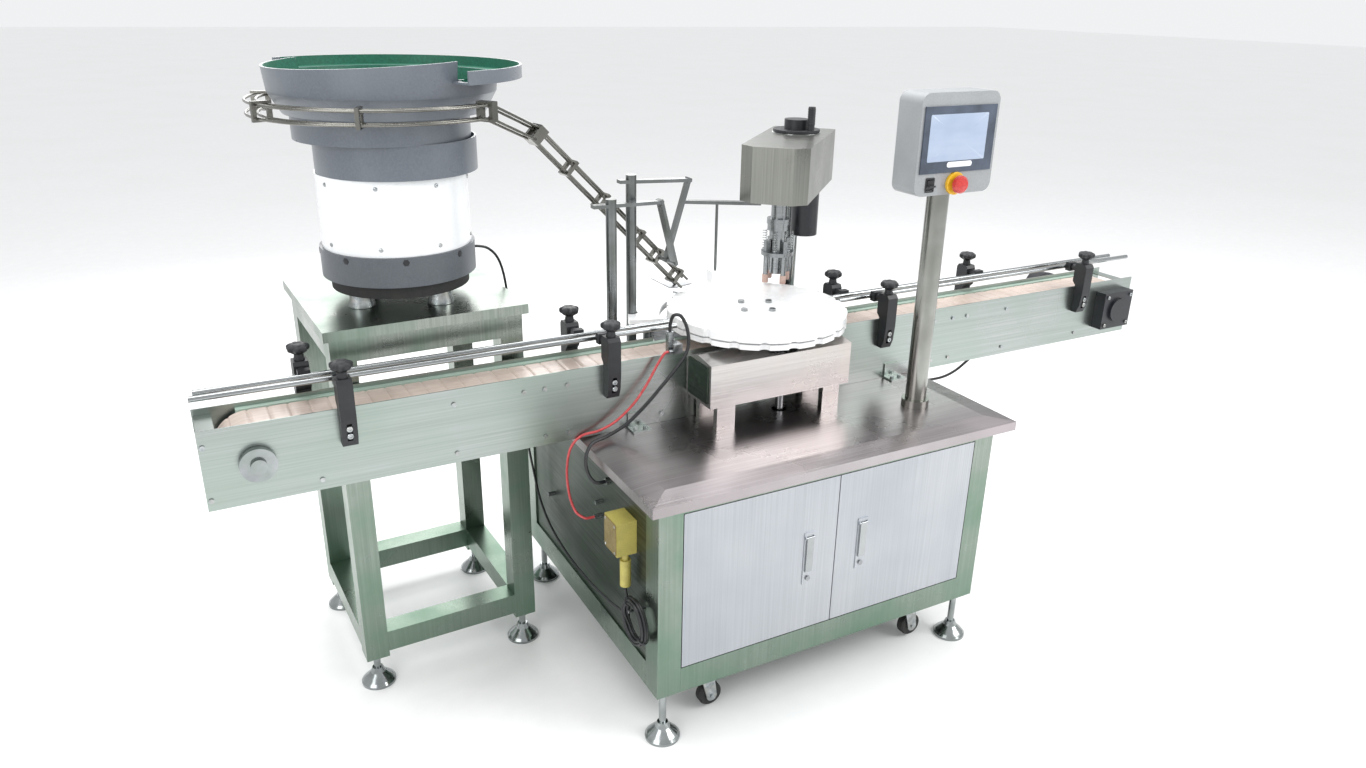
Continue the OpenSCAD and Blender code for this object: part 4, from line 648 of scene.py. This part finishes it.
# Black core between the ring and the stand, and a plated cup round each rubber mount
core = [(147, 917.5), (149.2, 917.5), (149.2, 945.6), (147, 945.6)]
loftMesh("coreSkirt", [turned(core, (*drum["centre"], 0), around=96)], blackRubber, "base",
         cyclic=True)
cups = []
for k in range(mounts["count"]):
    a = math.radians(mounts["first"] + mounts["step"] * k)
    x, y = drum["centre"] + mounts["reach"] * np.array([math.cos(a), math.sin(a)])
    cups.append(turned([(26, 888), (28.6, 888), (28.6, 893), (24.4, 906), (24.4, 917), (22.2, 917)],
                       (x, y, 0), around=36))
loftMesh("mountCups", cups, zincPlate, "base", cyclic=True)

print("stage: capping head")
head = {"axis": np.array([635.185, 576.185]), "turn": math.radians(45), "column": (114.0, -12.0)}


# headPoint: the head's own u, v turned into cabinet x, y
def headPoint(u, v):
    c, s = math.cos(head["turn"]), math.sin(head["turn"])
    return head["axis"][0] + u * c - v * s, head["axis"][1] + u * s + v * c


spring = {"reach": 34, "radius": 6, "wire": 0.9, "coils": 8, "perCoil": 20, "low": 914, "tall": 51,
          "sides": 8}
sleeve = {"reach": 33, "first": 45, "low": 830.2, "around": 28,
          "profile": [(0, 0), (7.2, 0), (8.2, 1.4), (8.2, 20), (7.4, 22), (0, 22)]}


# chuckSpring: (x + r cos w, y + r sin w, low + tall s / coils), w one turn for each coil
def chuckSpring(angle):
    x, y = headPoint(spring["reach"] * math.cos(angle), spring["reach"] * math.sin(angle))
    s = np.linspace(0, spring["coils"], spring["coils"] * spring["perCoil"])
    wind = 2 * np.pi * s
    route = np.column_stack([x + spring["radius"] * np.cos(wind), y + spring["radius"] * np.sin(wind),
                             spring["low"] + spring["tall"] * s / spring["coils"]])
    outwardAt = np.column_stack([np.cos(wind), np.sin(wind), 0 * wind])
    return tubeAlong(route, spring["wire"], outwardAt, spring["sides"])


# fingerSleeve: a rounded tip turned about the finger's own line
def fingerSleeve(angle):
    x, y = headPoint(sleeve["reach"] * math.cos(angle), sleeve["reach"] * math.sin(angle))
    return turned(sleeve["profile"], (x, y, sleeve["low"]), around=sleeve["around"])


quarters = [90 * k for k in range(4)]
springs = [chuckSpring(math.radians(turn)) for turn in quarters]
tips = [fingerSleeve(math.radians(sleeve["first"] + turn)) for turn in quarters]
loftMesh("chuckSprings", springs, polishedRod, "chuck")
loftMesh("fingerSleeves", tips, pinkSilicone, "chuck")

columnX, columnY = headPoint(*head["column"])
# Knurled rim of the hand wheel
rimProfile = [(57, 1201.9), (60.4, 1202.4), (60.6, 1205), (60.4, 1207.8), (57, 1208.4)]
rimCut = {"around": 180, "lobes": 60, "depth": 0.3, "core": 58.5}
loftMesh("wheelRim", [turned(rimProfile, (columnX, columnY, 0), **rimCut)], blackNylon, "hand_wheel",
         cyclic=True)
# Ribbed grip: r = core + rib |sin(ribs pi h / tall)|
grip = {"angle": math.radians(-75), "reach": 48, "low": 1222, "tall": 42, "ribs": 7, "core": 9.3, "rib": 0.7,
        "bore": 9.05, "steps": 29, "around": 32}
crankX = columnX + grip["reach"] * math.cos(grip["angle"])
crankY = columnY + grip["reach"] * math.sin(grip["angle"])
gripHeights = np.linspace(0, grip["tall"], grip["steps"])
gripRadii = grip["core"] + grip["rib"] * np.abs(np.sin(gripHeights / grip["tall"] * np.pi * grip["ribs"]))
gripProfile = [(grip["bore"], 0), *zip(gripRadii, gripHeights), (grip["bore"], grip["tall"])]
loftMesh("crankGrip", [turned(gripProfile, (crankX, crankY, grip["low"]), around=grip["around"])], blackNylon,
         "hand_wheel", cyclic=True)
collar = [(51, 1199.7), (63, 1199.7), (63, 1201), (62, 1201.4), (51, 1201.4)]
loftMesh("coverCollar", [turned(collar, (columnX, columnY, 0), around=72)], polishedRod, "base",
         cyclic=True)

print("stage: panel and boxes")
panel = {"x": 790.0, "screenZ": 1246.0}
display = {"outline": (164, 100, 3), "middle": (panel["x"] - 4, 123.2, panel["screenZ"] + 4), "thick": 0.7,
           "faces": "y", "bevel": 0.2}
labelStrip = {"outline": (72, 12, 5.5), "middle": (panel["x"] + 8, 122.9, panel["screenZ"] - 54),
              "thick": 0.9, "faces": "y", "bevel": 0.2}
lid = {"outline": (58, 74, 4), "middle": (-44.0, 139, 469), "thick": 2.2, "faces": "x", "bevel": 0.6}


# flatPlate: a rounded outline lifted by its thickness, from one settings dictionary
def flatPlate(facts):
    return plateGrid(roundedOutline(*facts["outline"]), facts["middle"], facts["thick"], facts["faces"],
                     facts["bevel"])


loftMesh("displayGlass", [flatPlate(display)], displayGlass, "base")
loftMesh("panelStrip", [flatPlate(labelStrip)], paleStrip, "base")
stop = {"place": (792, 0, 1150), "around": 56,
        "profile": [(10.6, 126.9), (25, 126.9), (25, 121), (23.6, 119.4), (10.6, 119.4)]}
loftMesh("stopRing", [turned(stop["profile"], stop["place"], "y", stop["around"])], yellowPlastic, "base",
         cyclic=True)
rocker = {"x": 722, "z": 1150, "outer": (25, 32, 3), "inner": (19.4, 25.6, 1.5), "back": 126.9, "lip": 125.6,
          "front": 125.2}
outerRim, innerRim = roundedOutline(*rocker["outer"]), roundedOutline(*rocker["inner"])
rims = [np.stack([o[:, 0] + rocker["x"], np.full(len(o), y), o[:, 1] + rocker["z"]], -1)
        for o, y in ((outerRim, rocker["back"]), (outerRim, rocker["lip"]), (innerRim, rocker["front"]),
                     (innerRim, rocker["back"]))]
loftMesh("rockerFrame", [place(np.stack(rims))], blackNylon, "base", cyclic=True)
loftMesh("boxLid", [flatPlate(lid)], brownLid, "base")
lidScrew = {"across": (116, 162), "levels": (438, 500), "around": 16,
            "profile": [(0, -44.9), (2.6, -44.9), (3, -44.2), (3, -43.4), (0, -43.4)]}
lidScrews = [turned(lidScrew["profile"], (0, y, z), "x", lidScrew["around"])
             for y in lidScrew["across"] for z in lidScrew["levels"]]
loftMesh("lidScrews", lidScrews, zincPlate, "base")
# Ground plate at the dial's edge
release = {"middle": (366, 652, 836.5), "thick": 2.4, "bevel": 0.5, "scale": 0.9,
           "outline": [[-36, 60], [-32, -46], [-10, -52], [46, -36], [40, -8], [-6, 62]]}
plate = np.array(release["outline"]) * release["scale"]
loftMesh("releasePlate", [plateGrid(plate[::-1], release["middle"], release["thick"], "z", release["bevel"])],
         groundPlate, "base")

print("stage: motors")
# End plate of the gear cover, with a round cover over its adjusting hole
guard = {"outline": (92, 88, 3), "middle": (250.2, 300, 712), "thick": 2.2, "faces": "x", "bevel": 0.4}
guardCover = {"place": (0, 300, 712), "around": 32,
              "profile": [(0, 249.2), (11, 249.2), (13, 250), (13, 250.6), (0, 250.6)]}
guardDisc = turned(guardCover["profile"], guardCover["place"], "x", guardCover["around"])
# The end plate takes the painted-shade copy of the satin stainless
loftMesh("guardEnd", [flatPlate(guard), guardDisc], shadedSatin, "base")
motor = {"x": 1675, "z": 684, "plateY": 319, "boltX": 46, "boltZ": 42}
fins = [(0, 634), (38, 634), (41, 632), (41, 600), (44.5, 598), (44.5, 540), (41, 538), (41, 536.5),
        (0, 536.5)]
finCut = {"around": 216, "lobes": 36, "depth": 0.5, "core": 40.0}
loftMesh("motorFins", [turned(fins, (motor["x"], 0, motor["z"]), "y", **finCut)], motorPaint, "base")
plateBolts = [turned([(0, -1), (5, -1), (5, -4), (4, -5), (2.4, -5), (2, -3.4), (0, -3.4)],
                     (motor["x"] + dx, motor["plateY"], motor["z"] + dz), "y", 18)
              for dx in (-motor["boltX"], motor["boltX"]) for dz in (-motor["boltZ"], motor["boltZ"])]
loftMesh("motorBolts", plateBolts, zincPlate, "base")

print("stage: floor and light")


# A wide pale floor just under the pads
def makeFloor():
    mesh = bpy.data.meshes.new("floor")
    reach = 40.0
    mesh.from_pydata([(-reach, -reach, 0), (reach, -reach, 0), (reach, reach, 0), (-reach, reach, 0)], [],
                     [(0, 1, 2, 3)])
    material = surface("paleFloor", ["#f4f5f5", "#f6f6f6", "#f8f8f8"], (60, 60, 60), (0.6, 0.7), 0.0, 0.0,
                       900, "#f2f3f2", 0.4)
    mesh.materials.append(material)
    floor = bpy.data.objects.new("floor", mesh)
    bpy.context.scene.collection.objects.link(floor)


lights = [
    {"name": "keySoft", "at": (2.6, -2.8, 3.1), "to": (0.1, 0, 0.6), "size": (2.6, 2.0), "power": 110},
    {"name": "overhead", "at": (-0.2, 0.5, 3.4), "to": (-0.1, 0, 0.6), "size": (4.2, 1.8), "power": 95},
    {"name": "leftFill", "at": (-3.2, -1.6, 2.2), "to": (-0.3, 0, 0.7), "size": (2.0, 2.0), "power": 40},
    {"name": "backFill", "at": (0.4, 3.4, 2.2), "to": (0, 0, 0.8), "size": (3.0, 1.6), "power": 40},
]


def makeLights():
    for facts in lights:
        data = bpy.data.lights.new(facts["name"], "AREA")
        data.shape = "RECTANGLE"
        data.size, data.size_y = facts["size"]
        data.energy = facts["power"]
        light = bpy.data.objects.new(facts["name"], data)
        bpy.context.scene.collection.objects.link(light)
        light.location = facts["at"]
        aim = Vector(facts["to"]) - Vector(facts["at"])
        light.rotation_euler = aim.to_track_quat("-Z", "Y").to_euler()
    world = bpy.data.worlds.new("studio")
    bpy.context.scene.world = world
    world.use_nodes = True
    sky = world.node_tree.nodes["Background"]
    sky.inputs["Color"].default_value = hexColour("#f6f7f8")
    sky.inputs["Strength"].default_value = 0.95


makeFloor()
makeLights()
bpy.context.scene.view_settings.view_transform = "Standard"
